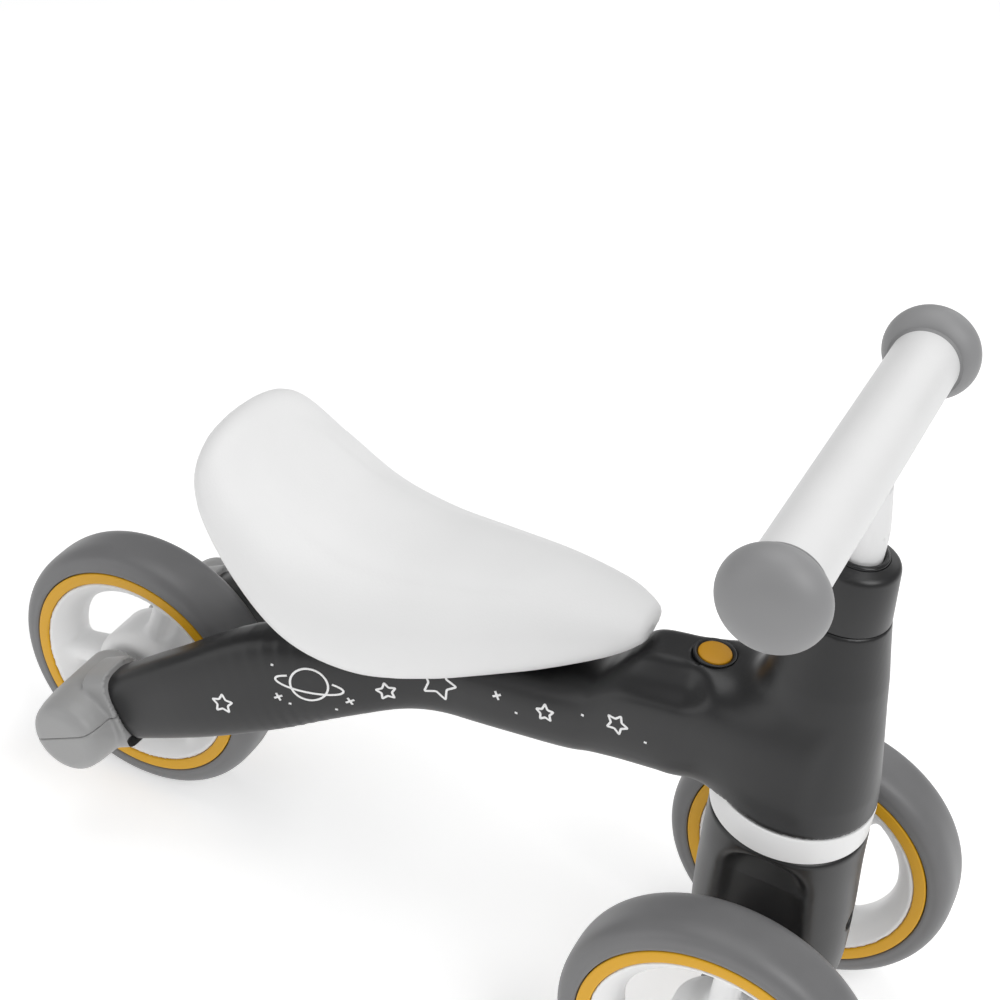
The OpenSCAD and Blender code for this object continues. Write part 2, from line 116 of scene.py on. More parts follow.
def cylinder(p: np.ndarray, axis: int, centre: Point, radius: float, low: float, high: float,
             rounding: float = 0.5) -> np.ndarray:
    """Distances to a round bar along one axis, with rounded edges.

    Args:
        p: Points, one a row.
        axis: 0, 1 or 2, the axis the bar lies along.
        centre: A point on the bar's axis.
        radius: The bar's radius.
        low: Where the bar starts along the axis.
        high: Where the bar ends along the axis.
        rounding: Radius of its edges.

    Returns:
        Signed distances, negative inside.
    """
    others = [k for k in range(3) if k != axis]
    rho = np.hypot(p[:, others[0]] - centre[others[0]], p[:, others[1]] - centre[others[1]])
    across = rho - radius + rounding
    along = np.abs(p[:, axis] - (low + high) / 2) - (high - low) / 2 + rounding
    outside = np.hypot(np.maximum(across, 0), np.maximum(along, 0))
    return np.minimum(np.maximum(across, along), 0) + outside - rounding


def folded(p: np.ndarray) -> np.ndarray:
    """The points with those on the right mirrored to the left, for shapes drawn on the left only."""
    return p * (1, 0, 1) + np.abs(p) * (0, 1, 0)


def smooth_stations(stations: Sequence[Sequence[float]], steps: int) -> np.ndarray:
    """Puts extra stations on a smooth curve through the given ones.

    Args:
        stations: Rows of numbers, one row a station.
        steps: How many stations each stretch becomes.

    Returns:
        The longer list, one station a row.
    """
    s = np.array(stations, float)
    padded = np.vstack([s[:1], s, s[-1:]])
    rows = []
    for i in range(len(s) - 1):
        p0, p1, p2, p3 = padded[i:i + 4]
        for f in np.arange(steps) / steps:
            rows.append(0.5 * (2 * p1 + (p2 - p0) * f + (2 * p0 - 5 * p1 + 4 * p2 - p3) * f * f
                               + (3 * p1 - p0 - 3 * p2 + p3) * f ** 3))
    rows.append(s[-1])
    return np.array(rows)


def oval(u: np.ndarray, v: np.ndarray, a: np.ndarray, b: np.ndarray, squareness: float) -> np.ndarray:
    """Distances to an oval between an ellipse and a rectangle.

    Args:
        u: Offsets along the first half axis.
        v: Offsets along the second half axis.
        a: First half axis.
        b: Second half axis.
        squareness: 2 for an ellipse, more for a squarer oval.

    Returns:
        Signed distances that are right close to the oval.
    """
    u, v = np.abs(u) / a, np.abs(v) / b
    g = np.maximum((u ** squareness + v ** squareness) ** (1 / squareness), 1e-6)
    slope_u = (u / g) ** (squareness - 1) / a
    slope_v = (v / g) ** (squareness - 1) / b
    return (g - 1) / np.maximum(np.hypot(slope_u, slope_v), 1e-6)


@dataclass(frozen=True)
class Loft:
    """A solid through oval stations, each (place along it, centre y, centre z, half width, half height)."""

    stations: tuple[tuple[float, ...], ...]
    squareness: float = 2.4
    end_rounding: float = 3.0

    def upright(self, p: np.ndarray, along: int = 0) -> np.ndarray:
        """Distances when the ovals stay square to one axis.

        Args:
            p: Points, one a row.
            along: The axis, 0 for X; with 2 for Z the centre is (x, y) and the half axes lie along X and Y.

        Returns:
            Signed distances.
        """
        s = smooth_stations(self.stations, 8)
        c1, c2, a, b = (np.interp(p[:, along], s[:, 0], s[:, k]) for k in (1, 2, 3, 4))
        u = p[:, 1] if along == 0 else p[:, 0]
        v = p[:, 2] if along == 0 else p[:, 1]
        side = oval(u - c1, v - c2, a, b, self.squareness)
        low, high = s[0, 0], s[-1, 0]
        cap = np.abs(p[:, along] - (low + high) / 2) - (high - low) / 2
        return soft_max(side, cap, self.end_rounding)

    def swept(self, p: np.ndarray) -> np.ndarray:
        """Distances when the ovals stay square to the curve of their centres, which lies along X and Z.

        Args:
            p: Points, one a row.

        Returns:
            Signed distances.
        """
        s = smooth_stations(self.stations, 7)
        best = np.full(len(p), np.inf)
        out = np.zeros(len(p))
        last = len(s) - 2
        for i in range(last + 1):
            run = s[i + 1, [0, 2]] - s[i, [0, 2]]
            length = np.hypot(*run)
            off = p[:, [0, 2]] - s[i, [0, 2]]
            raw = off @ run / length ** 2
            t = np.clip(raw, 0.0, 1.0)
            gap = np.hypot(*(off - t[:, None] * run).T)
            here = s[i] + t[:, None] * (s[i + 1] - s[i])
            lift = (off[:, 1] * run[0] - off[:, 0] * run[1]) / length
            side = oval(p[:, 1] - here[:, 1], lift, here[:, 3], here[:, 4], self.squareness)
            past_end = np.where((i == last) & (raw > 1), (raw - 1) * length, WITHIN)
            beyond = np.where((i == 0) & (raw < 0), -raw * length, past_end)
            near = gap < best
            best = np.where(near, gap, best)
            out = np.where(near, soft_max(side, beyond, self.end_rounding), out)
        return out


def revolved(p: np.ndarray, profile: Sequence[Sequence[float]], centre: Point, axis: int,
             rounding: float = 1.0) -> np.ndarray:
    """Distances to a solid of revolution whose outline is one radius for each place on the axis.

    Args:
        p: Points, one a row.
        profile: (radius, place along the axis) pairs in order along the axis.
        centre: A point on the axis; profile places are measured from it.
        axis: 1 for Y or 2 for Z.
        rounding: Rounding of its two end edges.

    Returns:
        Signed distances.
    """
    radius, place = np.array(profile, float).T
    others = [k for k in range(3) if k != axis]
    rho = np.hypot(p[:, others[0]] - centre[others[0]], p[:, others[1]] - centre[others[1]])
    at = p[:, axis] - centre[axis]
    slope = np.interp(at, place, np.gradient(radius, place))
    side = (rho - np.interp(at, place, radius)) / np.sqrt(1 + slope ** 2)
    cap = np.abs(at - (place[0] + place[-1]) / 2) - (place[-1] - place[0]) / 2
    return soft_max(side, cap, rounding)


def field_slope(solid: Field, p: np.ndarray, step: float = 0.05) -> tuple[np.ndarray, np.ndarray]:
    """The value of a field and its unit slope at some points.

    Args:
        solid: The field.
        p: Points, one a row.
        step: How far apart it is sampled.

    Returns:
        Values, and outward directions one a row.
    """
    corners = np.array([(1, -1, -1), (-1, -1, 1), (-1, 1, -1), (1, 1, 1)], float)
    grad = sum(k * solid(p + k * step)[:, None] for k in corners) / (4 * step)
    size = np.linalg.norm(grad, axis=1, keepdims=True)
    return solid(p), grad / np.maximum(size, 1e-6)


def net_of(solid: Field, low: Point, high: Point, step: float) -> tuple[np.ndarray, np.ndarray]:
    """Meshes the surface of a field with quads, one point in each small cube that it crosses.

    Args:
        solid: The field, negative inside.
        low: Lowest corner of the space to look in.
        high: Highest corner of it.
        step: Size of the small cubes.

    Returns:
        The points in millimetres and the quads as rows of four indices.
    """
    # Blocks of four cubes a side are tested first, and only those near the surface are looked into
    block = 4
    most_points = 200000
    lo = np.array(low, float)
    blocks = np.ceil((np.array(high) - lo) / (step * block)).astype(int)
    big = step * block
    centres = np.stack(np.meshgrid(*(lo[k] + (np.arange(blocks[k]) + 0.5) * big for k in range(3)),
                                   indexing="ij"), -1)
    rough = solid(centres.reshape(-1, 3)).reshape(blocks)
    size = blocks * block + 1
    near = np.zeros(size, bool)
    values = np.ones(size, np.float64)
    for i, j, k in np.argwhere(np.abs(rough) < big * 1.25):
        near[tuple(slice(n * block, (n + 1) * block + 1) for n in (i, j, k))] = True
    inside = np.repeat(np.repeat(np.repeat(rough < 0, block, 0), block, 1), block, 2)
    values[:-1, :-1, :-1][inside] = -1.0
    where = np.argwhere(near)
    parts = np.array_split(where, max(1, len(where) // most_points))
    values[near] = np.concatenate([solid(lo + part * step) for part in parts])
    sign = values < 0
    cells, spots, quads = [], [], []
    strides = np.array([size[1] * size[2], size[2], 1])
    for axis in range(3):
        head = [slice(None)] * 3
        tail = [slice(None)] * 3
        head[axis], tail[axis] = slice(0, -1), slice(1, None)
        v0, v1 = values[tuple(head)], values[tuple(tail)]
        cross = np.argwhere((v0 < 0) != (v1 < 0))
        first, second = [k for k in range(3) if k != axis]
        cross = cross[(cross[:, first] > 0) & (cross[:, second] > 0)]
        a, b = v0[tuple(cross.T)], v1[tuple(cross.T)]
        spot = cross.astype(float)
        spot[:, axis] += a / (a - b)
        ring = []
        for d1, d2 in ((0, 0), (1, 0), (1, 1), (0, 1)):
            cell = cross.copy()
            cell[:, first] -= d1
            cell[:, second] -= d2
            ring.append(cell @ strides)
            cells.append(ring[-1])
            spots.append(spot)
        ring = np.stack(ring, 1)
        turn = sign[tuple(cross.T)] == (axis == 1)
        ring[turn] = ring[turn][:, ::-1]
        quads.append(ring)
    ids, index = np.unique(np.concatenate(cells), return_inverse=True)
    spots = np.concatenate(spots)
    count = np.bincount(index)[:, None]
    points = np.stack([np.bincount(index, spots[:, k]) for k in range(3)], 1) / count
    points = lo + points * step
    # Three steps along the slope bring the points from the cubes' middles onto the surface
    for _ in range(3):
        value, out = field_slope(solid, points)
        points -= np.clip(value, -step, step)[:, None] * out * 0.9
    return points, np.searchsorted(ids, np.concatenate(quads))


# ------------------------------------------------------------------ pieces
def new_object(name: str, points: np.ndarray, faces: Sequence) -> bpy.types.Object:
    """Makes a smooth-shaded object at the origin.

    Args:
        name: The object's name.
        points: Its points in millimetres, one a row.
        faces: Its faces as lists of point indices.

    Returns:
        The new object.
    """
    mesh = bpy.data.meshes.new(name)
    mesh.from_pydata((np.asarray(points) * MM).tolist(), [], [tuple(map(int, f)) for f in faces])
    mesh.validate()
    mesh.polygons.foreach_set("use_smooth", [True] * len(mesh.polygons))
    piece = bpy.data.objects.new(name, mesh)
    bpy.context.scene.collection.objects.link(piece)
    return piece


def add_piece(name: str, points: np.ndarray, faces: Sequence, body: Body, finish: "Finish",
              stands_for: Sequence[str] = ()) -> bpy.types.Object:
    """Makes a finished piece from points in millimetres.

    Args:
        name: The piece's name.
        points: Its points, one a row.
        faces: Its faces as lists of point indices.
        body: The body that it moves with.
        finish: What it is made of.
        stands_for: CAD nodes that it replaces.

    Returns:
        The new object.
    """
    return settle(new_object(name, points, faces), body, finish, stands_for)


def settle(piece: bpy.types.Object, body: Body, finish: "Finish",
           stands_for: Sequence[str] = ()) -> bpy.types.Object:
    """Gives a finished piece its material, its body and the CAD nodes it stands for.

    Args:
        piece: The piece, with its final mesh.
        body: The body that it moves with.
        finish: What it is made of.
        stands_for: CAD nodes that it replaces.

    Returns:
        The same piece.
    """
    piece.data.materials.clear()
    piece.data.materials.append(finish.material())
    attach(piece, body.value)
    if stands_for:
        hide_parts(*stands_for)
    LOG.info("%s: %d faces on %s", piece.name, len(piece.data.polygons), body.value)
    return piece


def lathe(profile: Sequence[Sequence[float]], centre: Point, axis: int,
          sides: int = 160) -> tuple[np.ndarray, list]:
    """Turns an outline round an axis into a closed skin.

    Args:
        profile: (radius, place along the axis) pairs; the outline closes on itself or ends on the axis.
        centre: A point on the axis; places are measured from it.
        axis: 1 for Y or 2 for Z.
        sides: Number of steps round.

    Returns:
        Points and faces.
    """
    outline = np.array(profile, float)
    on_axis = outline[:, 0] < 1e-6
    turns = 2 * np.pi * np.arange(sides) / sides
    first, second = (0, 1) if axis == 2 else (2, 0)
    points, rows = [], []
    for (radius, place), pole in zip(outline, on_axis):
        steps = turns[:1] if pole else turns
        ring = np.zeros((len(steps), 3))
        ring[:, first] = radius * np.cos(steps)
        ring[:, second] = radius * np.sin(steps)
        ring[:, axis] = place
        rows.append(np.arange(len(steps)) + sum(map(len, points)))
        points.append(ring)
    points = np.vstack(points)
    open_ended = on_axis[0] and on_axis[-1]
    pairs = list(zip(rows, rows[1:] if open_ended else rows[1:] + rows[:1]))
    faces = []
    for a, b in pairs:
        for i in range(sides):
            j = (i + 1) % sides
            quad = [a[i % len(a)], a[j % len(a)], b[j % len(b)], b[i % len(b)]]
            face = list(dict.fromkeys(quad))
            if len(face) > 2:
                faces.append(face)
    if enclosed(points, faces) < 0:
        faces = [f[::-1] for f in faces]
    return points + np.array(centre), faces


def enclosed(points: np.ndarray, faces: Sequence[Sequence[int]]) -> float:
    """The volume inside a closed skin, which is negative when its faces point inwards.

    Args:
        points: The skin's points, one a row.
        faces: Its faces as lists of point indices.

    Returns:
        The volume.
    """
    total = 0.0
    for f in faces:
        for k in range(1, len(f) - 1):
            total += np.dot(points[f[0]], np.cross(points[f[k]], points[f[k + 1]]))
    return total / 6


def fillet(corners: Sequence[Sequence[float]], steps: int = 5) -> list[tuple[float, float]]:
    """Rounds the corners of an outline.

    Args:
        corners: (radius, place, rounding) for each corner, where a rounding of 0 keeps it sharp.
        steps: Points on each rounded corner.

    Returns:
        (radius, place) points.
    """
    out = []
    for i, (r, z, rounding) in enumerate(corners):
        here = np.array([r, z])
        if rounding <= 0 or i in (0, len(corners) - 1) and r < 1e-6:
            out.append((r, z))
            continue
        before = np.array(corners[i - 1][:2]) - here
        after = np.array(corners[(i + 1) % len(corners)][:2]) - here
        a = here + before * min(rounding / np.linalg.norm(before), 0.5)
        b = here + after * min(rounding / np.linalg.norm(after), 0.5)
        for f in np.linspace(0, 1, steps):
            spot = (1 - f) ** 2 * a + 2 * f * (1 - f) * here + f ** 2 * b
            out.append((float(spot[0]), float(spot[1])))
    return out


# ------------------------------------------------------------------ finishes
def linear(code: str) -> tuple[float, float, float, float]:
    """Turns an sRGB hex colour into linear values with an alpha of 1."""
    parts = [int(code[k:k + 2], 16) / 255 for k in (1, 3, 5)]
    return tuple(c / 12.92 if c <= 0.04045 else ((c + 0.055) / 1.055) ** 2.4 for c in parts) + (1.0,)


def add_node(tree: bpy.types.NodeTree, kind: str, settings: dict | None = None,
             inputs: dict | None = None) -> bpy.types.Node:
    """Adds one node with its settings, values and links.

    Args:
        tree: The node tree.
        kind: The node's type.
        settings: Attributes of the node.
        inputs: Values or output sockets for its inputs, by name or index.

    Returns:
        The new node.
    """
    made = tree.nodes.new(kind)
    for key, value in (settings or {}).items():
        setattr(made, key, value)
    for key, value in (inputs or {}).items():
        if isinstance(value, bpy.types.NodeSocket):
            tree.links.new(value, made.inputs[key])
        else:
            made.inputs[key].default_value = value
    return made


@dataclass(frozen=True)
class Finish:
    """A surface: two close colours in soft patches, a fine grain, and how it shines."""

    name: str
    slot: str
    colour: str
    patch_colour: str
    roughness: tuple[float, float]
    ior: float
    grain_mm: float
    grain_depth_mm: float
    patch_mm: float = 30.0
    metallic: float = 0.0
    coat: float = 0.0
    sheen: float = 0.0
    pebbled: bool = False

    def material(self) -> bpy.types.Material:
        """The material, made once and then shared."""
        known = bpy.data.materials.get(self.name)
        return known if known else self.build()

    def build(self) -> bpy.types.Material:
        """Makes the material's node tree.

        Returns:
            The new material.
        """
        made = bpy.data.materials.new(self.name)
        made.use_nodes = True
        tree = made.node_tree
        tree.nodes.clear()
        place = add_node(tree, "ShaderNodeTexCoord").outputs["Object"]
        patches = add_node(tree, "ShaderNodeTexNoise", None,
                           {"Vector": place, "Scale": 1 / (self.patch_mm * MM), "Detail": 3.0})
        tint = add_node(tree, "ShaderNodeMix", {"data_type": "RGBA"},
                        {0: patches.outputs[0], 6: linear(self.colour), 7: linear(self.patch_colour)})
        grain = self.grain(tree, place)
        rough = add_node(tree, "ShaderNodeMapRange", None,
                         {"Value": patches.outputs[0], "From Min": 0.3, "From Max": 0.7,
                          "To Min": self.roughness[0], "To Max": self.roughness[1]})
        bump = add_node(tree, "ShaderNodeBump", None,
                        {"Height": grain, "Strength": 1.0, "Distance": self.grain_depth_mm * MM})
        shader = add_node(tree, "ShaderNodeBsdfPrincipled", None,
                          {"Base Color": tint.outputs[2], "Roughness": rough.outputs[0],
                           "Normal": bump.outputs[0], "IOR": self.ior, "Metallic": self.metallic,
                           "Coat Weight": self.coat, "Coat Roughness": 0.25,
                           "Sheen Weight": self.sheen, "Sheen Roughness": 0.5})
        add_node(tree, "ShaderNodeOutputMaterial", None, {"Surface": shader.outputs[0]})
        made.diffuse_color = linear(self.colour)
        return made

    def grain(self, tree: bpy.types.NodeTree, place: bpy.types.NodeSocket) -> bpy.types.NodeSocket:
        """The height of the fine grain, rounded pebbles or plain roughness.

        Args:
            tree: The material's tree.
            place: Where the pattern is read.

        Returns:
            The socket that holds the height.
        """
        scale = 1 / (self.grain_mm * MM)
        fine = add_node(tree, "ShaderNodeTexNoise", None, {"Vector": place, "Scale": scale, "Detail": 2.0})
        if not self.pebbled:
            return fine.outputs[0]
        pebbles = add_node(tree, "ShaderNodeTexVoronoi", {"feature": "SMOOTH_F1"},
                           {"Vector": place, "Scale": scale, "Smoothness": 0.6})
        blend = add_node(tree, "ShaderNodeMath", {"operation": "MULTIPLY_ADD"},
                         {0: pebbles.outputs["Distance"], 1: -0.7, 2: fine.outputs[0]})
        return blend.outputs[0]


# Moulded polypropylene, spark-eroded mould: a satin, nearly black skin with broad soft highlights.
BLACK_PP = Finish("moulded_polypropylene_black", "black_plastic", "#1b1b1c", "#202021", (0.33, 0.39), 1.49,
                  0.5, 0.012)
# Moulded polypropylene of the rims, the caps and the ring: white, satin.
WHITE_PP = Finish("moulded_polypropylene_white", "white_plastic", "#eeeeee", "#f2f2f2", (0.34, 0.40), 1.49,
                  0.6, 0.01)
# Painted tube in white powder coat: a faint orange peel.
WHITE_COAT = Finish("powder_coat_white", "white_plastic", "#e0e0e0", "#e5e5e5", (0.38, 0.44), 1.5,
                    1.4, 0.012)
# Acrylonitrile butadiene styrene, dyed through: a warm satin yellow.
YELLOW_ABS = Finish("abs_yellow", "yellow_plastic", "#dba202", "#e0a90c", (0.4, 0.47), 1.46, 0.5, 0.01)
# The same plastic in the deeper yellow of the button, matt on its top.
YELLOW_KEY = Finish("abs_deep_yellow", "yellow_plastic", "#bd8600", "#c48c02", (0.5, 0.56), 1.44,
                    0.5, 0.012)
# Grey polypropylene of the brackets: satin with a fine spark grain.
GREY_PP = Finish("moulded_polypropylene_grey", "grey_plastic", "#999999", "#9f9f9f", (0.38, 0.45), 1.49,
                 0.5, 0.012)
# Soft thermoplastic rubber of the grip balls: matt, hardly any highlight.
GREY_TPR = Finish("thermoplastic_rubber_grey", "grey_plastic", "#888889", "#8e8e8f", (0.46, 0.52), 1.5,
                  0.45, 0.014, sheen=0.08)
# Closed-cell ethylene-vinyl acetate foam with a moulded skin: soft sheen and tiny closed pores.
GREY_EVA = Finish("eva_foam_grey", "eva_grey", "#6e6e6f", "#777778", (0.38, 0.46), 1.48, 0.7, 0.02,
                  patch_mm=18, pebbled=True)
# Integral skin polyurethane: a fine pebbled leather grain about a millimetre wide.
PU_SKIN = Finish("polyurethane_skin_white", "seat_skin", "#e9e9e9", "#eeeeee", (0.42, 0.5), 1.46, 1.1, 0.03,
                 patch_mm=45, sheen=0.12, pebbled=True)
# Acetal bushes: milky and slippery.
ACETAL = Finish("acetal_natural", "bush_plastic", "#d2d1cc", "#dad9d4", (0.3, 0.36), 1.48, 0.8, 0.006)
# Zinc-plated steel, bright passivated: metal with a faint blue-grey mottle.
ZINC_STEEL = Finish("zinc_plated_steel", "steel", "#b9bcc0", "#a9adb3", (0.24, 0.36), 1.5, 0.3, 0.004,
                    patch_mm=4, metallic=1.0)
# White screen ink on the moulding: thin and a little glossy.
WHITE_INK = Finish("screen_ink_white", "white_plastic", "#f2f2f2", "#f7f7f7", (0.3, 0.36), 1.5, 0.3, 0.003)
# Glossy black polypropylene of the collar round the stem.
BLACK_GLOSS = Finish("polished_polypropylene_black", "black_plastic", "#1c1c1d", "#202021", (0.16, 0.22),
                     1.49, 0.8, 0.003)


# ------------------------------------------------------------------ places shared by the sub-assemblies
@dataclass(frozen=True)
class Layout:
    """Places that several sub-assemblies use, taken from the frame."""

    axle_z: float
    rear_x: float
    front_x: float
    side_y: float
    steer_x: float
    bar_x: float
    bar_z: float

    @classmethod
    def read(cls) -> "Layout":
        """Works the places out from the middles of the CAD nodes' boxes.

        Returns:
            The layout.
        """
        def middle(node: str) -> np.ndarray:
            """The middle of a CAD node's box, in millimetres."""
            low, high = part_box(node)
            return np.array((low + high) / 2) / MM
        nodes = ("rear_tyre", "front_left_tyre", "steering_tube", "handlebar_core")
        rear, front, tube, bar = map(middle, nodes)
        return cls(rear[2], rear[0], front[0], front[1], tube[0], bar[0], bar[2])


AT = Layout.read()
# Heights where the white ring starts and ends, and where the head's cap starts
RING_BOTTOM, RING_TOP, HEAD_JOINT = 161.0, 176.0, 278.0
RING_R = 37.4
BAR_R = 15.8
# How far the tail arms and the split of their brackets lean
ARM_LEAN = math.radians(30)
# Radii of the bores for the 16 mm steering tube and for the 8 mm axles
TUBE_BORE = 8.05
AXLE_BORE = 4.05
# Heights clear of the beam, where the holes cut through its underside start and end
BELOW, ABOVE = 100, 220


# ------------------------------------------------------------------ frame
@dataclass
class MainFrame:
    """The black moulding: a beam under the saddle, two tail arms and the head that holds the steering."""

    beam: Loft = Loft(((-56, 0, 152.5, 19, 16.5), (-25, 0, 159.4, 25, 18.6), (10, 0, 164.8, 26, 21.2),
                       (50, 0, 171.2, 26, 21.4), (70, 0, 175.9, 26, 22.6), (80, 0, 181.5, 26, 25.5),
                       (88, 0, 186.8, 26.4, 29.3), (96, 0, 190.8, 26.8, 31.8), (112, 0, 194.2, 27.5, 32.2),
                       (124, 0, 196.6, 28, 32.2), (150, 0, 202.3, 30, 26), (175, 0, 204, 27, 22)), 3.0, 6.0)
    arm: Loft = Loft(((-159, 46, 89.4, 13, 19.2), (-120, 44, 115, 13, 24.3), (-75, 35, 142.5, 14, 27.5),
                      (-30, 20, 156, 15, 19.5), (10, 8, 166, 8, 9)), 3.2, 1.6)
    tongue: Loft = Loft(((-174, 46, 80.8, 8.6, 13.6), (-150, 46, 94.6, 8.6, 13.6)), 4.0, 1.0)
    # (radius, height) of the tapering head
    head: tuple[tuple[float, float], ...] = (
        (37.3, RING_TOP + 0.5), (35.8, 190), (33.2, 205), (30.8, 219), (28.4, 233), (26.2, 247),
        (23.2, 262), (20.2, HEAD_JOINT))
    # Scoop beside the ridge: centre line from under the saddle's nose to its round front end
    scoop: tuple[Point, Point] = ((50, 25.5, 212), (116, 25.5, 225.5))
    scoop_r: float = 11.0
    # How far the fillets spread from beam to arms, from beam to head, and round the scoop
    arm_fillet: float = 12.0
    head_fillet: float = 15.0
    scoop_fillet: float = 7.0
    bush_bore: float = 14.0
    bush_depth: float = 9.0
    # The button's place and its well: a wide bore for its ring and a deep one for the button
    button_x: float = 123.5
    button_z: float = 228.8
    ring_well: tuple[float, float] = (10.0, 5.0)
    button_well: tuple[float, float] = (7.9, 24.0)
    cover_middle: Point = (60, 0, 154)
    cover_half: tuple[float, float] = (46, 13)
    cover_slope: float = math.radians(9.5)
    cover_gap: float = 0.25
    bolt_x: tuple[float, float] = (-20, 50)
    # Radius of the bolts' bores, and how far under the beam's top they end
    bolt_bore: float = 5.4
    bolt_roof: float = 18.0
    cover_screw_x: tuple[float, float] = (25, 88)

    def solid(self, p: np.ndarray) -> np.ndarray:
        """The outer shape: beam, arms and head run into each other, scooped beside the ridge.

        Args:
            p: Points, one a row.

        Returns:
            Signed distances.
        """
        side = folded(p)
        body = soft_min(self.beam.upright(p), self.arm.swept(side), self.arm_fillet)
        head = revolved(p, self.head, (AT.steer_x, 0, 0), 2, 1.0)
        body = soft_min(body, head, self.head_fillet)
        return soft_max(body, -capsule(side, *self.scoop, self.scoop_r), self.scoop_fillet)

    def cover_box(self, p: np.ndarray, grow: float) -> np.ndarray:
        """The oblong let into the beam's floor, turned to the floor's slope.

        Args:
            p: Points, one a row.
            grow: How far it is grown on every side.

        Returns:
            Signed distances.
        """
        cos, sin = math.cos(self.cover_slope), math.sin(self.cover_slope)
        q = p - np.array(self.cover_middle)
        along = q[:, 0] * cos + q[:, 2] * sin
        up = -q[:, 0] * sin + q[:, 2] * cos
        rounding = 3.0
        half_depth = 4
        flat = np.stack([np.abs(along) - self.cover_half[0] - grow + rounding,
                         np.abs(q[:, 1]) - self.cover_half[1] - grow + rounding], 1)
        outline = np.linalg.norm(np.maximum(flat, 0), axis=1) + np.minimum(flat.max(1), 0) - rounding
        return np.maximum(outline, np.abs(up) - half_depth - grow)

    def floor(self, x: float) -> float:
        """Height of the beam's underside on the middle line."""
        s = smooth_stations(self.beam.stations, 8)
        return float(np.interp(x, s[:, 0], s[:, 2] - s[:, 4]))

    def roof(self, x: float) -> float:
        """Height of the beam's top on the middle line."""
        s = smooth_stations(self.beam.stations, 8)
        return float(np.interp(x, s[:, 0], s[:, 2] + s[:, 4]))

    def shell(self, p: np.ndarray) -> np.ndarray:
        """The moulding with its tongues, bores, button well and cover recess.

        Args:
            p: Points, one a row.

        Returns:
            Signed distances.
        """
        side = folded(p)
        body = np.minimum(self.solid(p), self.tongue.swept(side))
        steer = (AT.steer_x, 0, 0)
        cuts = [self.cover_box(p, self.cover_gap),
                cylinder(p, 2, steer, self.bush_bore, RING_TOP - self.bush_depth,
                         HEAD_JOINT + self.bush_depth),
                cylinder(p, 2, steer, RING_R + 0.6, RING_TOP - 40, RING_TOP + 0.4)]
        button, top = (self.button_x, 0, 0), self.button_z
        for radius, depth in (self.ring_well, self.button_well):
            cuts.append(cylinder(p, 2, button, radius, top - depth, top + 30))
        for x in self.bolt_x:
            cuts.append(cylinder(p, 2, (x, 0, 0), self.bolt_bore, BELOW, self.roof(x) - self.bolt_roof))
        for x in self.cover_screw_x:
            cuts.append(cylinder(p, 2, (x, 0, 0), 1.7, BELOW, self.floor(x) + 18))
        for cut in cuts:
            body = soft_max(body, -cut, 0.7)
        return body

    def cover(self, p: np.ndarray) -> np.ndarray:
        """The cover plate, flush with the beam's underside, with its screw and bolt holes.

        Args:
            p: Points, one a row.

        Returns:
            Signed distances.
        """
        plate = soft_max(self.beam.upright(p), self.cover_box(p, 0), 0.6)
        for x in self.bolt_x:
            plate = soft_max(plate, -cylinder(p, 2, (x, 0, 0), 8, BELOW, ABOVE), 0.5)
        for x in self.cover_screw_x:
            plate = soft_max(plate, -cylinder(p, 2, (x, 0, 0), 3.6, BELOW, self.floor(x) + 1.6), 0.3)
            plate = soft_max(plate, -cylinder(p, 2, (x, 0, 0), 1.9, BELOW, ABOVE), 0.3)
        return plate

    def build(self) -> None:
        """Makes the moulding and its cover plate."""
        points, quads = net_of(self.shell, (-182, -64, 58), (216, 64, 284), 1.45)
        add_piece("frame_moulding", points, quads, Body.FRAME, BLACK_PP, ["main_frame"])
        low = np.array(self.cover_middle) - (50, 17, 16)
        points, quads = net_of(self.cover, tuple(low), tuple(low + (100, 34, 32)), 0.9)
        add_piece("underside_cover", points, quads, Body.FRAME, BLACK_PP, ["belly_cover"])


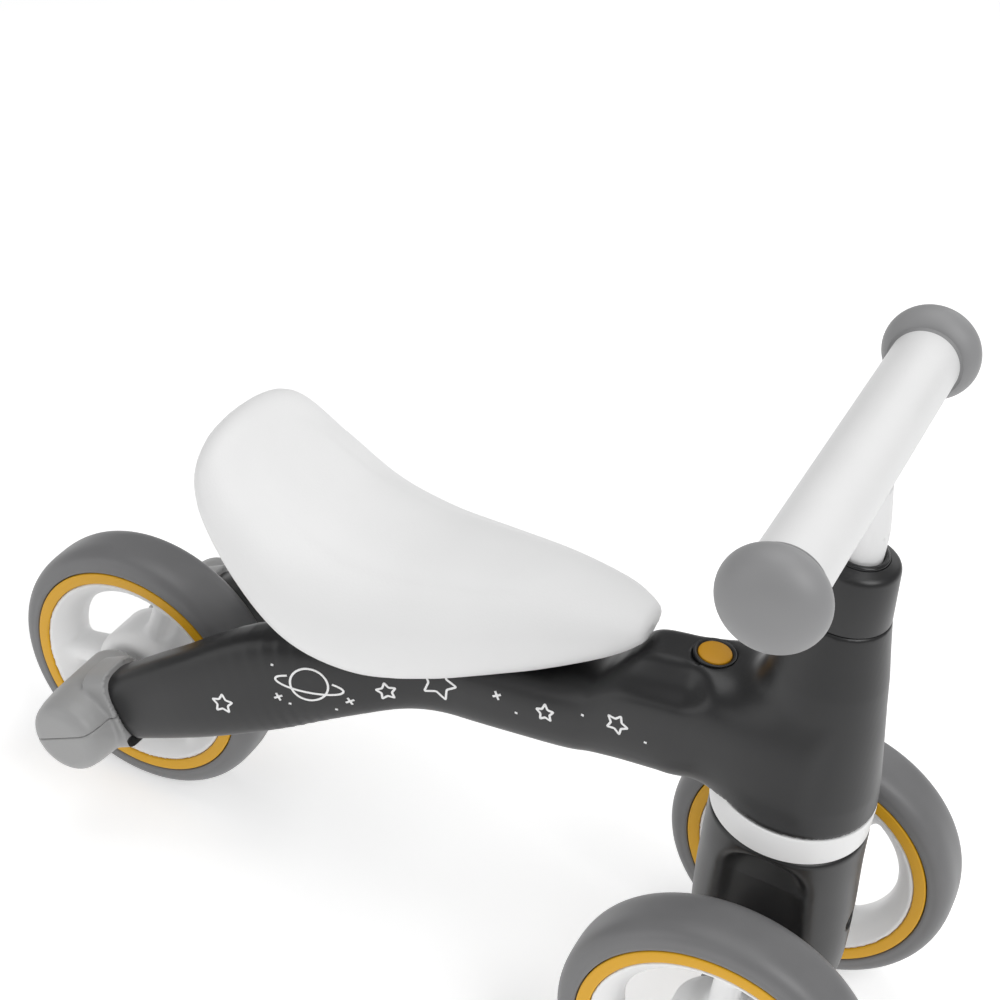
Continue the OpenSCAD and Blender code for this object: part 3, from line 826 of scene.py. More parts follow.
# ------------------------------------------------------------------ head and stem
@dataclass
class Head:
    """The cap, the collar round the stem, the stem itself and the white ring below the head."""

    cap_corners: tuple[tuple[float, float, float], ...] = (
        (13.9, 272.5, 0), (13.9, 278.3, 0), (20.15, 278.35, 0.5), (17.9, 305.6, 2.4), (13.4, 307.6, 1.2),
        (12.45, 308.0, 0.4), (12.4, 302, 0), (12.6, 272.5, 0))
    collar_corners: tuple[tuple[float, float, float], ...] = (
        (9.8, 302.2, 0.4), (12.3, 302.2, 0.3), (12.3, 309.2, 1.1), (9.8, 309.2, 1.1))
    ring_corners: tuple[tuple[float, float, float], ...] = (
        (9, RING_BOTTOM + 0.1, 0), (RING_R, RING_BOTTOM + 0.1, 0.9), (RING_R, RING_TOP - 0.05, 0.9),
        (9, RING_TOP - 0.05, 0))
    # Stem stations (height, x, y, half length, half width)
    stem: Loft = Loft(((284.2, 173.6, 0, 9.3, 9.3), (300, 173.6, 0, 9.3, 9.3), (318, 173.4, 0, 9.4, 9.4),
                       (326, 172, 0, 9.9, 9.9), (334, 169.4, 0, 11, 11.2), (343, 166.4, 0, 12.2, 13)),
                      2.0, 1.0)

    def stem_solid(self, p: np.ndarray) -> np.ndarray:
        """The stem, bowed back to the bar, cut to the bar's round and opened for the steering tube.

        Args:
            p: Points, one a row.

        Returns:
            Signed distances.
        """
        body = self.stem.upright(p, along=2)
        bar = cylinder(p, 1, (AT.bar_x, 0, AT.bar_z), BAR_R + 0.05, -60, 60)
        bore = cylinder(p, 2, (AT.steer_x, 0, 0), TUBE_BORE, 270, 322, 0.3)
        return soft_max(soft_max(body, -bar, 0.8), -bore, 0.5)

    def build(self) -> None:
        """Makes the four pieces."""
        centre = (AT.steer_x, 0, 0)
        for name, corners, body, finish, node in (
                ("head_cap_shell", self.cap_corners, Body.FRAME, BLACK_PP, "head_cap"),
                ("stem_collar", self.collar_corners, Body.FRAME, BLACK_GLOSS, "collar_ring"),
                ("white_ring", self.ring_corners, Body.STEERER, WHITE_PP, "lower_ring")):
            points, faces = lathe(fillet(corners), centre, 2)
            add_piece(name, points, faces, body, finish, [node])
        points, quads = net_of(self.stem_solid, (150, -18, 280), (190, 18, 346), 0.9)
        add_piece("bowed_stem", points, quads, Body.STEERER, WHITE_COAT, ["stem"])


@dataclass
class Handlebar:
    """The white tube across the top and its mushroom-shaped grip balls."""

    half: float = 91.95
    tube_bore: float = 11.05
    ball_y: float = 103.0
    ball_r: float = 22.3
    reach_in: float = 11.0
    dome: float = 14.0

    def ball_outline(self) -> list[tuple[float, float]]:
        """Half the section of a grip ball, from the inner face over the rim to the middle of the dome.

        Returns:
            (radius, place along the bar) points.
        """
        inner = [(11.1, 0.6), (11.1, -self.reach_in + 0.5), (11.6, -self.reach_in), (17.2, -self.reach_in)]
        for degrees in range(-52, 90, 3):
            t = math.radians(degrees)
            depth = self.reach_in + 1.6 if degrees < 0 else self.dome
            inner.append((self.ball_r * math.cos(t) ** 0.78, depth * math.sin(t)))
        return [(0, 0.6)] + inner + [(0, self.dome)]

    def build(self) -> None:
        """Makes the tube and both balls."""
        corners = ((self.tube_bore, -self.half, 0.2), (BAR_R, -self.half, 0.5), (BAR_R, self.half, 0.5),
                   (self.tube_bore, self.half, 0.2))
        points, faces = lathe(fillet(corners), (AT.bar_x, 0, AT.bar_z), 1)
        add_piece("handlebar_tube", points, faces, Body.STEERER, WHITE_COAT, ["handlebar_sleeve"])
        points, faces = lathe(self.ball_outline(), (0, 0, 0), 1, 128)
        for name, side in (("left", 1), ("right", -1)):
            spot = points * (1, side, 1) + (AT.bar_x, side * self.ball_y, AT.bar_z)
            turned = faces if side > 0 else [f[::-1] for f in faces]
            add_piece(f"grip_knob_{name}", spot, turned, Body.STEERER, GREY_TPR, [f"grip_ball_{name}"])


# ------------------------------------------------------------------ fork
@dataclass
class Fork:
    """The black fork under the ring, hollowed by an arch on each side round the axle's boss."""

    # (height, x, y, half length, half width)
    leg: Loft = Loft(((47, 180, 0, 13, 11), (52, 180, 0, 25, 17), (60, 179.5, 0, 33, 22),
                      (80, 179, 0, 38, 27), (110, 177, 0, 38.6, 32), (140, 175, 0, 37.6, 36),
                      (161, 174, 0, 37.1, 37.1)), 2.1, 3.0)
    boss_face: float = 51.6
    boss_r: float = 18.0
    # The arch: the middle and radius of its round top, the height of its round foot, and how far it
    # drifts forwards and widens down to there; its back wall comes inwards as it goes down
    arch_top: Point = (176, 31, 136)
    arch_top_r: float = 20.5
    arch_foot_z: float = 76
    arch_drift: float = 3
    arch_widening: float = 5.5
    wall_y: float = 27.5
    wall_shift: float = 7.5
    # Height and radius of the screw holes in front and behind, and how far off the steering axis they end
    screw_z: float = 108
    screw_bore: float = 5.2
    screw_floor: float = 27

    def solid(self, p: np.ndarray) -> np.ndarray:
        """The fork with its arches, boss and bores.

        Args:
            p: Points, one a row.

        Returns:
            Signed distances.
        """
        side = folded(p)
        body = self.leg.upright(p, along=2)
        top_x, _, top_z = self.arch_top
        run = np.clip((top_z - p[:, 2]) / (top_z - self.arch_foot_z), 0, 1)
        centre_x = top_x + self.arch_drift * run
        radius = self.arch_top_r + self.arch_widening * run
        wall = self.wall_y - self.wall_shift * run
        up = np.maximum(p[:, 2] - top_z, np.minimum(p[:, 2] - self.arch_foot_z, 0))
        arch = np.hypot(p[:, 0] - centre_x, up) - radius
        arch = soft_max(arch, wall - side[:, 1], 8)
        body = soft_max(body, -arch, 5)
        out = self.boss_face - side[:, 1]
        swell = self.boss_r + 0.009 * np.clip(out - 8, 0, 40) ** 2
        rho = np.hypot(p[:, 0] - AT.front_x, p[:, 2] - AT.axle_z)
        boss = soft_max(rho - swell, -out, 1.2)
        body = soft_min(body, boss, 7)
        body = soft_max(body, p[:, 2] - RING_BOTTOM, 0.6)
        screw = (0, 0, self.screw_z)
        for cut in (cylinder(p, 2, (AT.steer_x, 0, 0), TUBE_BORE, 96, 190),
                    cylinder(p, 1, (AT.front_x, 0, AT.axle_z), AXLE_BORE, -90, 90),
                    cylinder(p, 0, screw, self.screw_bore, AT.steer_x + self.screw_floor, 240),
                    cylinder(p, 0, screw, self.screw_bore, 100, AT.steer_x - self.screw_floor)):
            body = soft_max(body, -cut, 0.7)
        return body

    def build(self) -> None:
        """Makes the fork."""
        points, quads = net_of(self.solid, (134, -54, 44), (224, 54, 163), 1.2)
        add_piece("steering_fork", points, quads, Body.STEERER, BLACK_PP, ["fork"])


# ------------------------------------------------------------------ rear brackets
@dataclass
class RearBracket:
    """A grey clamshell on each tail arm that holds the rear axle: an upper and a lower half."""

    # The barrel's radius, where it starts and ends along the axle, and the rounding of its ends
    radius: float = 22.0
    inner: float = 21.0
    outer: float = 78.0
    nose: float = 6.0
    neck: Loft = Loft(((-184, 46, 75, 13.5, 19), (-166, 46, 85.4, 13.5, 19)), 3.0, 1.0)
    collar: Loft = Loft(((-171.5, 46, 82.2, 15.6, 22.5), (-158.8, 46, 89.5, 15.6, 22.5)), 4.0, 1.6)
    pocket: Loft = Loft(((-174.6, 46, 80.45, 8.8, 13.8), (-150, 46, 94.6, 8.8, 13.8)), 4.0, 0.5)
    # Half the gap at the split, and how far the split passes over the axle
    seam: float = 0.12
    split_rise: float = 2.2
    # Screws, measured from the axle, and how far below it their heads sit
    screw_y: tuple[float, float] = (32, 68)
    screw_x: float = -12
    screw_seat: float = 15.0
    # Recess for the axle's nut: its radius and its two ends
    nut_recess: tuple[float, float, float] = (7.6, 58, 65)

    def above(self, p: np.ndarray) -> np.ndarray:
        """Height above the split, a plane that leans with the arm."""
        return ((p[:, 2] - AT.axle_z - self.split_rise) * math.cos(ARM_LEAN)
                - (p[:, 0] - AT.rear_x) * math.sin(ARM_LEAN))

    def body(self, p: np.ndarray) -> np.ndarray:
        """The whole bracket: a round barrel, a short neck and the collar round the arm.

        Args:
            p: Points, one a row.

        Returns:
            Signed distances.
        """
        outline = ((self.radius - 0.8, self.inner), (self.radius, self.inner + 5),
                   (self.radius, self.outer - 19), (self.radius - 0.8, self.outer - 10),
                   (self.radius - 2, self.outer - 4), (self.radius - 3, self.outer))
        barrel = revolved(p, outline, (AT.rear_x, 0, AT.axle_z), 1, self.nose)
        solid = soft_min(soft_min(barrel, self.neck.swept(p), 4), self.collar.swept(p), 1.5)
        axle = (AT.rear_x, 0, AT.axle_z)
        cuts = [self.pocket.swept(p), cylinder(p, 1, axle, AXLE_BORE, 0, 65),
                cylinder(p, 1, axle, *self.nut_recess)]
        seat_z = AT.axle_z - self.screw_seat
        for y in self.screw_y:
            cuts.append(cylinder(p, 2, (AT.rear_x + self.screw_x, y, 0), 4.2, 30, seat_z))
        for cut in cuts:
            solid = soft_max(solid, -cut, 0.6)
        return solid

    def build(self) -> None:
        """Makes the upper and lower half, and their mirror images on the right."""
        for half, sign in (("upper", 1), ("lower", -1)):
            def part(p: np.ndarray, sign: int = sign) -> np.ndarray:
                """One half of the bracket, with the edge along the split just eased."""
                return soft_max(self.body(p), self.seam - sign * self.above(p), 0.5)
            points, quads = net_of(part, (-205, 18, 50), (-152, 81, 118), 0.95)
            mirrored = points * (1, -1, 1), quads[:, ::-1]
            for side, mesh in (("left", (points, quads)), ("right", mirrored)):
                add_piece(f"axle_bracket_{half}_{side}", *mesh, Body.FRAME, GREY_PP,
                          [f"bracket_{half}_{side}"])


# ------------------------------------------------------------------ wheels
# The one rim mesh that all three wheels share, once it is made
RIM_NET: list[tuple[np.ndarray, np.ndarray]] = []


@dataclass
class Wheel:
    """One wheel: a foam tyre on a white rim with three spokes, and a yellow ring on each side."""

    body: Body
    prefix: str
    y: float
    x: float
    # How far the spokes are turned, in degrees, and the hub cap's side: 1 left, -1 right, 0 for no cap
    phase: float
    capped: int = 0
    tyre_r: float = 75.0
    tyre_half: float = 16.0
    ring_outer: float = 63.0
    ring_inner: float = 56.7
    seat_r: float = 60.0
    # Where the rim's step for the yellow rings starts, and half the rim's own width
    step_y: float = 13.0
    rim_half: float = 15.7
    waist_r: float = 45.5
    hub_r: float = 24.5
    hub_half: float = 17.0
    spokes: int = 3
    spoke_half: tuple[float, float] = (6.5, 9.5)
    # (radius, start, end) of the inner bush's seat, the axle's clearance, the outer bush's seat and the
    # nut's recess
    bores: tuple[tuple[float, float, float], ...] = (
        (9.05, -18, -7), (5, -9, 0), (9.05, -1, 18), (12.05, 9, 18))

    def tyre_outline(self) -> list[tuple[float, float]]:
        """The tyre's section: a narrow flat side band, a soft crease, then the domed tread.

        Returns:
            (radius, place along the axle) points.
        """
        lip = self.ring_outer + 0.4
        band = self.tyre_r - 8.5
        half = [(self.seat_r, self.step_y), (lip, self.step_y), (lip, self.tyre_half - 0.9),
                (lip + 0.25, self.tyre_half - 0.3), (lip + 0.9, self.tyre_half), (band - 0.8, self.tyre_half)]
        for t in np.linspace(0, math.pi / 2, 25):
            half.append((band + (self.tyre_r - band) * math.sin(t) ** 0.86,
                         self.tyre_half * (0.985 * math.cos(t) ** 0.62)))
        return half + [(r, -y) for r, y in reversed(half[:-1])]

    def rim_solid(self, p: np.ndarray) -> np.ndarray:
        """The rim about its own centre: a barrel pinched at mid width, a fat hub and filleted spokes.

        Args:
            p: Points, one a row.

        Returns:
            Signed distances.
        """
        rho = np.hypot(p[:, 0], p[:, 2])
        y = np.abs(p[:, 1])
        # The inner wall flares from the waist to the lip as a power of how far out it is
        flare, reach = 2.3, 15.6
        rise = self.ring_inner - 1.4 - self.waist_r
        share = np.minimum(y, reach + 0.2) / reach
        wall = self.waist_r + rise * share ** flare
        slope = rise * flare / reach * share ** (flare - 1)
        inner = (wall - rho) / np.sqrt(1 + slope ** 2)
        outer = np.minimum(np.maximum(rho - self.seat_r, y - self.step_y),
                           np.maximum(rho - self.ring_inner + 0.25, y - self.rim_half))
        barrel = soft_max(inner, outer, 0.7)
        hub = cylinder(p, 1, (0, 0, 0), self.hub_r, -self.hub_half, self.hub_half, 6.5)
        angle = np.arctan2(p[:, 2], p[:, 0])
        pitch = 2 * np.pi / self.spokes
        off = (angle + pitch / 2) % pitch - pitch / 2
        across = oval(rho * np.sin(off), p[:, 1], *self.spoke_half, 2.6)
        spoke = np.maximum(across, np.maximum(rho - self.seat_r + 4, 12 - rho * np.cos(off)))
        solid = soft_min(soft_min(hub, spoke, 4.5), barrel, 4)
        solid = np.where(rho > self.seat_r - 6, np.maximum(solid, barrel), solid)
        solid = np.maximum(solid, y - np.where(rho < 40, self.hub_half, self.rim_half))
        for radius, low, high in self.bores:
            solid = soft_max(solid, -cylinder(p, 1, (0, 0, 0), radius, low, high, 0.1), 0.5)
        return solid

    def rim(self) -> tuple[np.ndarray, np.ndarray]:
        """The rim's mesh, made once, then turned to this wheel's phase and faced outboard.

        Returns:
            Points and quads.
        """
        if not RIM_NET:
            reach = self.seat_r + 3
            RIM_NET.append(net_of(self.rim_solid, (-reach, -18.5, -reach), (reach, 18.5, reach), 1.3))
        points, quads = RIM_NET[0]
        cos, sin = math.cos(math.radians(self.phase)), math.sin(math.radians(self.phase))
        turned = np.stack([points[:, 0] * cos - points[:, 2] * sin, points[:, 1],
                           points[:, 0] * sin + points[:, 2] * cos], 1)
        if self.capped < 0:
            return turned * (1, -1, 1), quads[:, ::-1]
        return turned, quads

    def build(self) -> None:
        """Makes the tyre, rim, rings and, on a front wheel, the hub cap."""
        centre = (self.x, self.y, AT.axle_z)
        points, faces = lathe(self.tyre_outline(), centre, 1, 192)
        add_piece(f"{self.prefix}_foam_tyre", points, faces, self.body, GREY_EVA, [f"{self.prefix}_tyre"])
        points, quads = self.rim()
        add_piece(f"{self.prefix}_spoked_rim", points + centre, quads, self.body, WHITE_PP,
                  [f"{self.prefix}_rim"])
        for side, label in ((1, "a"), (-1, "b")):
            low, high = side * self.step_y, side * self.tyre_half
            corners = ((self.ring_inner, low, 0), (self.ring_outer, low, 0), (self.ring_outer, high, 0.9),
                       (self.ring_inner, high, 0.9))
            points, faces = lathe(fillet(corners), centre, 1, 192)
            add_piece(f"{self.prefix}_ring_{label}", points, faces, self.body, YELLOW_ABS,
                      [f"{self.prefix}_trim_rings"])
        if self.capped:
            self.build_cap(centre)

    def build_cap(self, centre: Point) -> None:
        """Makes the hub cap over the axle's nut.

        Args:
            centre: The middle of the wheel.
        """
        dome = [(15 * math.cos(t), 17 + 4.6 * math.sin(t) ** 0.9)
                for t in np.linspace(0, math.pi / 2, 14)[:-1]]
        outline = [(0, 17), (9.8, 17), (9.8, 14), (12, 14), (12, 17)] + dome + [(0, 21.6)]
        outline = [(r, self.capped * place) for r, place in outline]
        points, faces = lathe(outline, centre, 1, 96)
        add_piece(f"{self.prefix}_hub_dome", points, faces, self.body, WHITE_PP, [f"{self.prefix}_hub_cap"])


# ------------------------------------------------------------------ saddle
@dataclass
class Saddle:
    """The white saddle: skinned foam, broad and high at the back, narrow and low at the nose."""

    frame_part: MainFrame
    half_width: float = 59.2
    # (x, centre height, share of the half width, half height)
    outline: tuple[tuple[float, float, float, float], ...] = (
        (-134.6, 246, 0.12, 3), (-133, 245, 0.44, 11.3), (-121.5, 237.7, 0.79, 23.5),
        (-97, 216.5, 0.94, 30.3), (-66, 197.9, 1.0, 33.6), (-32, 194.3, 0.954, 34), (5, 202.6, 0.804, 31.4),
        (40, 213.7, 0.639, 25.3), (70, 223.2, 0.458, 17), (84.8, 227.5, 0.307, 11.3),
        (92.5, 230.5, 0.159, 5.6), (93.7, 231.5, 0.053, 1.9))
    # The base plate: a point on its underside, how far its middle is behind that, its slope, and half its
    # length and width
    base_point: Point = (-18, 0, 193)
    base_setback: float = 1.0
    base_slope: float = math.radians(7)
    base_half: tuple[float, float] = (67, 15)
    # Gap between the plate and the foam round it, and between the foam and the frame under it
    plate_gap: float = 0.6
    frame_gap: float = 0.9
    # How far the foam core lies below the skin, and how far the finished skin may stray from its shape
    inset: float = 1.2
    stray: float = 0.6
    # The remesh's voxel, and the most that the cloth may move a point
    voxel: float = 4.5
    swell_cap: float = 2.4

    def on_base(self, p: np.ndarray) -> tuple[np.ndarray, np.ndarray]:
        """How far points lie along the base plate from its middle, and above its underside.

        Args:
            p: Points, one a row.

        Returns:
            Distances along the plate and heights over it.
        """
        cos, sin = math.cos(self.base_slope), math.sin(self.base_slope)
        q = p - np.array(self.base_point)
        return q[:, 0] * cos + q[:, 2] * sin + self.base_setback, -q[:, 0] * sin + q[:, 2] * cos

    def base_height(self, x: float) -> float:
        """Height of the base plate's underside."""
        return self.base_point[2] + (x - self.base_point[0]) * math.tan(self.base_slope)

    def solid(self, p: np.ndarray) -> np.ndarray:
        """The saddle's solid, hollowed where it sits over the frame and its base plate.

        Args:
            p: Points, one a row.

        Returns:
            Signed distances.
        """
        stations = tuple((x, 0.0, z, w * self.half_width, h) for x, z, w, h in self.outline)
        body = Loft(stations, 2.25, 1.0).upright(p)
        body = soft_max(body, -(self.frame_part.solid(p) - self.frame_gap), 1.2)
        along, up = self.on_base(p)
        length, width = (half + self.plate_gap for half in self.base_half)
        slab = np.maximum(np.maximum(np.abs(along) - length, np.abs(p[:, 1]) - width), up - 6.1)
        body = soft_max(body, -slab, 1.5)
        for x in self.frame_part.bolt_x:
            body = soft_max(body, -cylinder(p, 2, (x, 0, 0), 8.2, 150, self.base_height(x) + 3.6), 1.0)
        return body

    def plate(self, p: np.ndarray) -> np.ndarray:
        """The base plate inside the saddle, with a rib round it and a post over each bolt.

        Args:
            p: Points, one a row.

        Returns:
            Signed distances.
        """
        along, up = self.on_base(p)
        edge = soft_max(np.abs(along) - self.base_half[0], np.abs(p[:, 1]) - self.base_half[1], 6)
        sheet = soft_max(edge, np.abs(up - 4) - 1.5, 1.0)
        rib = soft_max(np.abs(edge + 1.6) - 1.2, np.abs(up - 2.9) - 2.6, 0.6)
        solid = soft_min(sheet, rib, 0.8)
        for x in self.frame_part.bolt_x:
            post = cylinder(p, 2, (x, 0, 0), 7.4, self.frame_part.roof(x) + 2.9, self.base_height(x) + 4.5)
            solid = soft_min(solid, post, 2.0)
        for x in self.frame_part.bolt_x:
            solid = soft_max(solid, -cylinder(p, 2, (x, 0, 0), 2.5, 150, self.base_height(x) + 4.4), 0.3)
        return soft_max(solid, 1.2 - self.frame_part.beam.upright(p), 0.5)

    def simulate(self, piece: bpy.types.Object) -> None:
        """Lets the skin swell under the foam's pressure, as cloth, and keeps the shape it takes.

        Args:
            piece: The remeshed saddle, whose points this moves.
        """
        scene = bpy.context.scene
        first, last = 1, 20
        start = read_points(piece)
        cloth = piece.modifiers.new("skin", "CLOTH")
        cloth.settings.use_pressure = True
        cloth.settings.uniform_pressure_force = 4.0
        cloth.settings.effector_weights.gravity = 0.0
        cloth.settings.quality = 5
        cloth.settings.tension_stiffness = 20
        cloth.settings.compression_stiffness = 20
        cloth.point_cache.frame_start, cloth.point_cache.frame_end = first, last
        for number in range(first, last + 1):
            scene.frame_set(number)
        settled = piece.evaluated_get(bpy.context.evaluated_depsgraph_get())
        swollen = read_points(settled)
        piece.modifiers.remove(cloth)
        scene.frame_set(first)
        move = swollen - start
        length = np.linalg.norm(move, axis=1, keepdims=True)
        move *= np.minimum(1, self.swell_cap * MM / np.maximum(length, 1e-9))
        # It keeps still within 3 mm of the frame and moves freely from 9 mm away
        free = np.clip((self.frame_part.solid(start / MM) - 3) / 6, 0, 1)[:, None]
        write_points(piece, start + move * free)

    def build(self) -> None:
        """Makes the base plate and the cushion on it."""
        points, quads = net_of(self.plate, (-89, -18, 176), (52, 18, 208), 1.1)
        add_piece("saddle_base_plate", points, quads, Body.FRAME, BLACK_PP, ["seat_base"])
        points, quads = net_of(lambda p: self.solid(p) + self.inset, (-137, -62, 154), (97, 62, 266), 2.6)
        piece = new_object("saddle_cushion", points, quads)
        remesh = piece.modifiers.new("voxels", "REMESH")
        remesh.mode = "VOXEL"
        remesh.voxel_size = self.voxel * MM
        remesh.use_smooth_shade = True
        flatten(piece)
        self.simulate(piece)
        smooth = piece.modifiers.new("even", "SMOOTH")
        smooth.factor, smooth.iterations = 0.5, 6
        subdivide = piece.modifiers.new("finer", "SUBSURF")
        subdivide.levels = subdivide.render_levels = 1
        flatten(piece)
        # Brings the points back to within the allowed stray of the solid's surface. At the rear end, where
        # the outline widens fast, the field's value is more than the distance, so the step goes too far
        # there and leaves two pits in the rear face
        spots = read_points(piece) / MM
        value, out = field_slope(self.solid, spots)
        kept = self.stray * np.tanh(value / self.stray)
        write_points(piece, (spots - (value - kept)[:, None] * out) * MM)
        settle(piece, Body.FRAME, PU_SKIN, ["seat_cushion"])


def read_points(piece: bpy.types.Object) -> np.ndarray:
    """The points of an object's mesh.

    Args:
        piece: The object.

    Returns:
        Its points in metres, one a row.
    """
    flat = np.empty(len(piece.data.vertices) * 3)
    piece.data.vertices.foreach_get("co", flat)
    return flat.reshape(-1, 3)


def write_points(piece: bpy.types.Object, points: np.ndarray) -> None:
    """Moves the points of an object's mesh to places in metres."""
    piece.data.vertices.foreach_set("co", np.asarray(points, float).ravel())
    piece.data.update()


def flatten(piece: bpy.types.Object) -> None:
    """Replaces an object's mesh with what its modifiers make of it, and removes them.

    Args:
        piece: The object.
    """
    graph = bpy.context.evaluated_depsgraph_get()
    made = bpy.data.meshes.new_from_object(piece.evaluated_get(graph))
    piece.modifiers.clear()
    piece.data = made
    made.polygons.foreach_set("use_smooth", [True] * len(made.polygons))


# ------------------------------------------------------------------ release button
@dataclass
class ReleaseButton:
    """The yellow button on the ridge and the dark ring it moves in."""

    frame_part: MainFrame
    radius: float = 7.8
    ring_depth: float = 4.9

    def build(self) -> None:
        """Makes the button's cap with its skirt, and the ring round it."""
        centre = (self.frame_part.button_x, 0, self.frame_part.button_z)
        dome = [(self.radius * math.sin(t), 1.2 * math.cos(t) - 0.2)
                for t in np.linspace(math.radians(78), math.radians(6), 12)]
        skirt = [(0, -7), (self.radius - 0.3, -7), (self.radius, -6.7), (self.radius, -0.4)]
        points, faces = lathe(skirt + dome + [(0, 1.0)], centre, 2, 96)
        add_piece("button_cap", points, faces, Body.BUTTON, YELLOW_KEY, ["release_button"])
        inner, outer = self.radius + 0.1, self.radius + 2.15
        corners = ((inner, -self.ring_depth, 0), (outer, -self.ring_depth, 0), (outer, 0.2, 0.3),
                   (self.radius + 1.2, 0.3, 0.4), (inner, -0.6, 0.3))
        points, faces = lathe(fillet(corners), centre, 2, 96)
        add_piece("button_ring", points, faces, Body.FRAME, BLACK_PP, ["button_bezel"])


# ------------------------------------------------------------------ fasteners
@dataclass
class ScrewSet:
    """Pan-head screws with a cross recess, grown by one node tree on the points where they sit."""

    name: str
    seats: tuple[Point, ...]
    head_r: float
    head_height: float
    shank_r: float
    shank_length: float
    stands_for: str
    hex_drive: bool = False

    def tree(self) -> bpy.types.NodeTree:
        """The node tree: one screw, set on every seat with its head down.

        Returns:
            The new tree.
        """
        tree = bpy.data.node_groups.new(f"{self.name}_tree", "GeometryNodeTree")
        tree.interface.new_socket("Geometry", in_out="INPUT", socket_type="NodeSocketGeometry")
        tree.interface.new_socket("Geometry", in_out="OUTPUT", socket_type="NodeSocketGeometry")
        for label in ("Head Radius", "Head Height", "Shank Radius", "Shank Length"):
            tree.interface.new_socket(label, in_out="INPUT", socket_type="NodeSocketFloat")
        given = add_node(tree, "NodeGroupInput").outputs
        crown = add_node(tree, "ShaderNodeMath", {"operation": "MULTIPLY"},
                         {0: given["Head Height"], 1: 0.45})
        rim = add_node(tree, "ShaderNodeMath", {"operation": "SUBTRACT"},
                       {0: given["Head Height"], 1: crown.outputs[0]})
        top = add_node(tree, "ShaderNodeMath", {"operation": "MULTIPLY"},
                       {0: given["Head Radius"], 1: 0.72})
        collar = add_node(tree, "GeometryNodeMeshCone", None,
                          {"Vertices": 48, "Radius Top": given["Head Radius"],
                           "Radius Bottom": given["Head Radius"], "Depth": rim.outputs[0]})
        dome = add_node(tree, "GeometryNodeMeshCone", None,
                        {"Vertices": 48, "Radius Top": given["Head Radius"],
                         "Radius Bottom": top.outputs[0], "Depth": crown.outputs[0]})
        head = add_node(tree, "GeometryNodeJoinGeometry")
        raised = add_node(tree, "ShaderNodeCombineXYZ", None, {"Z": crown.outputs[0]})
        lifted = add_node(tree, "GeometryNodeTransform", None,
                          {"Geometry": collar.outputs[0], "Translation": raised.outputs[0]})
        tree.links.new(lifted.outputs[0], head.inputs[0])
        tree.links.new(dome.outputs[0], head.inputs[0])
        whole = add_node(tree, "GeometryNodeMergeByDistance", None,
                         {"Geometry": head.outputs[0], "Distance": 0.00002})
        cutters = add_node(tree, "GeometryNodeJoinGeometry")
        for cutter in self.cutters(tree, given):
            tree.links.new(cutter, cutters.inputs[0])
        recess = add_node(tree, "GeometryNodeMeshBoolean", {"operation": "DIFFERENCE"},
                          {0: whole.outputs[0], 1: cutters.outputs[0]})
        shank = add_node(tree, "GeometryNodeMeshCone", None,
                         {"Vertices": 32, "Radius Top": given["Shank Radius"],
                          "Radius Bottom": given["Shank Radius"], "Depth": given["Shank Length"]})
        up = add_node(tree, "ShaderNodeCombineXYZ", None, {"Z": given["Head Height"]})
        stood = add_node(tree, "GeometryNodeTransform", None,
                         {"Geometry": shank.outputs[0], "Translation": up.outputs[0]})
        screw = add_node(tree, "GeometryNodeJoinGeometry")
        tree.links.new(recess.outputs[0], screw.inputs[0])
        tree.links.new(stood.outputs[0], screw.inputs[0])
        placed = add_node(tree, "GeometryNodeInstanceOnPoints", None,
                          {"Points": given["Geometry"], "Instance": screw.outputs[0]})
        real = add_node(tree, "GeometryNodeRealizeInstances", None, {"Geometry": placed.outputs[0]})
        dressed = add_node(tree, "GeometryNodeSetMaterial", None,
                           {"Geometry": real.outputs[0], "Material": ZINC_STEEL.material()})
        add_node(tree, "NodeGroupOutput", None, {0: dressed.outputs[0]})
        return tree

    def cutters(self, tree: bpy.types.NodeTree, given: bpy.types.NodeOutputs) -> list[bpy.types.NodeSocket]:
        """The shapes that the driver's recess is cut with, a cross or a hexagon.

        Args:
            tree: The screw's tree.
            given: The tree's inputs.

        Returns:
            The sockets that hold the shapes.
        """
        if self.hex_drive:
            key = add_node(tree, "ShaderNodeMath", {"operation": "MULTIPLY"},
                           {0: given["Head Radius"], 1: 0.5})
            prism = add_node(tree, "GeometryNodeMeshCone", None,
                             {"Vertices": 6, "Radius Top": key.outputs[0], "Radius Bottom": key.outputs[0],
                              "Depth": given["Head Height"]})
            depth = (0, 0, -0.4 * self.head_height * MM)
            sunk = add_node(tree, "GeometryNodeTransform", None,
                            {"Geometry": prism.outputs[0], "Translation": depth})
            return [sunk.outputs[0]]
        blades = []
        for turn in (0, 90):
            size = (1.15 * self.head_r * MM, 0.3 * self.head_r * MM, 1.3 * self.head_height * MM)
            blade = add_node(tree, "GeometryNodeMeshCube", None, {"Size": size})
            spun = add_node(tree, "GeometryNodeTransform", None,
                            {"Geometry": blade.outputs[0], "Rotation": (0, 0, math.radians(turn + 20))})
            blades.append(spun.outputs[0])
        union = add_node(tree, "GeometryNodeMeshBoolean", {"operation": "UNION"})
        for blade in blades:
            tree.links.new(blade, union.inputs[1])
        return [union.outputs[0]]

    def build(self) -> None:
        """Makes the screws as one plain mesh."""
        piece = new_object(self.name, np.array(self.seats), [])
        grown = piece.modifiers.new("screws", "NODES")
        tree = self.tree()
        grown.node_group = tree
        sizes = {"Head Radius": self.head_r, "Head Height": self.head_height,
                 "Shank Radius": self.shank_r, "Shank Length": self.shank_length}
        for item in tree.interface.items_tree:
            if item.in_out == "INPUT" and item.name in sizes:
                grown[item.identifier] = sizes[item.name] * MM
        flatten(piece)
        piece.data.polygons.foreach_set("use_smooth", [False] * len(piece.data.polygons))
        settle(piece, Body.FRAME, ZINC_STEEL, [self.stands_for])


